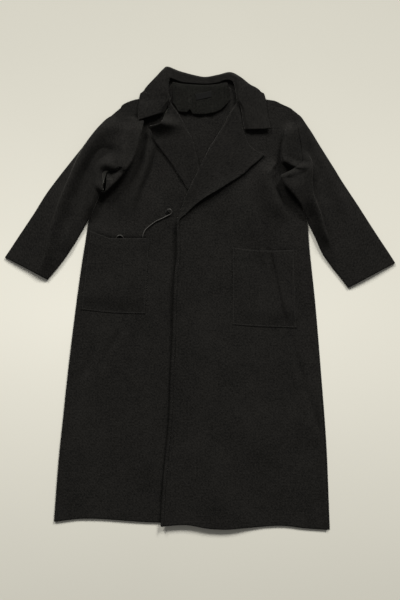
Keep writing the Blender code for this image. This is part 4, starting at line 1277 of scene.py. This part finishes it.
under_points, under_uv = front_grid(
    UNDER_ROWS, UNDER_HEM, under_mid, -1.0, UNDER_TIP, UNDER_LIFTS, UNDER_TIP_PULL, LAPEL_CREASES)
cloth_piece("front_right", under_points, under_uv, CLOTH, wool_face)

over_points, over_uv = front_grid(OVER_ROWS, OVER_HEM, over_mid, 1.0, OVER_TIP, OVER_LIFTS, 0.0, [])
cloth_piece("front_left", over_points, over_uv, CLOTH, wool_face)

for node, rings, rows, side, laps in (
    ("sleeve_right", SLEEVE_RIGHT, UNDER_ROWS, -1.0, LAP_RIGHT),
    ("sleeve_left", SLEEVE_LEFT, OVER_ROWS, 1.0, LAP_LEFT)):
    points, uv = sleeve_grid(rings, rows, side, laps)
    cloth_piece(node, points, uv, CLOTH, wool_face, ring=True)

collar_points, collar_uv = collar_grid()
cloth_piece(
    "collar", collar_points, collar_uv, CLOTH, wool_face)

facing_points, facing_uv = facing_grid()
cloth_piece("neck_facing", facing_points, facing_uv, FACING_CLOTH, wool_facing)

label_points, label_uv = label_grid()
cloth_piece("label", label_points, label_uv, LABEL_CLOTH, ribbon_material())

for node, mouth, base, bag, mid, below in (
    ("pocket_left", POCKET_LEFT_MOUTH, POCKET_LEFT_BASE, POCKET_LEFT_BAG, over_mid, "front_left"),
    ("pocket_right", POCKET_RIGHT_MOUTH, POCKET_RIGHT_BASE, POCKET_RIGHT_BAG, under_mid, "front_right")):
    points, uv, wall = pocket_grid(mouth, base, bag, mid)
    cloth_piece(node, points, uv, wall, wool_face)
    face, normals = upward(points, wall[..., None])
    inset = int(round(STITCH_IN / POCKET_STEP))
    row = stitch_row(seam_line(face, inset), seam_line(normals, inset))
    seam = stitches(node + "_stitches", *row, pocket_thread)
    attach(seam, "root")

cord_path = smooth_rows(np.array(CORD, dtype=float) * MM, CORD_SUB)
cord_path[:, 2] += under_top(cord_path[:, 0], cord_path[:, 1]) + CORD_DIAMETER / 2.0
cord = tube_along("tie_cord_braid", cord_path, CORD_DIAMETER / 2.0, braid_material())
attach(cord, "root")
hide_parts("tie_cord")

around = np.linspace(0.0, 2.0 * math.pi, EYELET_STITCHES + 1)[:-1]
eyelet_x = EYELET_AT[0] + (EYELET_HOLE + EYELET_RIM) * np.cos(around)
eyelet_y = EYELET_AT[1] + (EYELET_HOLE + EYELET_RIM) * np.sin(around)
eyelet_z = under_top(eyelet_x, eyelet_y).max() + SEAM_GAP + EYELET_RIM + 0.0 * around
spokes = np.stack([np.cos(around), np.sin(around), 0.0 * around], axis=1)
tops = np.repeat([[0.0, 0.0, 1.0]], len(around), axis=0)
eyelet_places = np.stack([eyelet_x, eyelet_y, eyelet_z], axis=1)
eyelet = stitches("eyelet_purl", eyelet_places, spokes, tops, eyelet_thread)
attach(eyelet, "root")
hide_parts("eyelet")

# Floor, light and camera

floor_mesh = bpy.data.meshes.new("floor")
floor_corners = [(x * FLOOR_REACH, y * FLOOR_REACH, 0.0) for x, y in ((-1, -1), (1, -1), (1, 1), (-1, 1))]
floor_mesh.from_pydata(floor_corners, [], [(0, 1, 2, 3)])
floor_mesh.materials.append(floor_material())
floor = bpy.data.objects.new("floor", floor_mesh)
bpy.context.collection.objects.link(floor)

world = bpy.data.worlds.new("studio")
bpy.context.scene.world = world
world.use_nodes = True
set_inputs(world.node_tree.nodes["Background"], {"Color": ROOM_COLOUR, "Strength": ROOM_STRENGTH})

for name, place, power in WINDOWS:
    window(name, place, power)

view = bpy.data.cameras.new("camera")
view.sensor_fit = "VERTICAL"
view.sensor_height = SENSOR
view.lens = SENSOR * CAMERA_HEIGHT / FRAME_HEIGHT
camera = bpy.data.objects.new("camera", view)
bpy.context.collection.objects.link(camera)
camera.location = (*FRAME_CENTRE, CAMERA_HEIGHT)
bpy.context.scene.camera = camera
bpy.context.scene.view_settings.view_transform = "Standard"
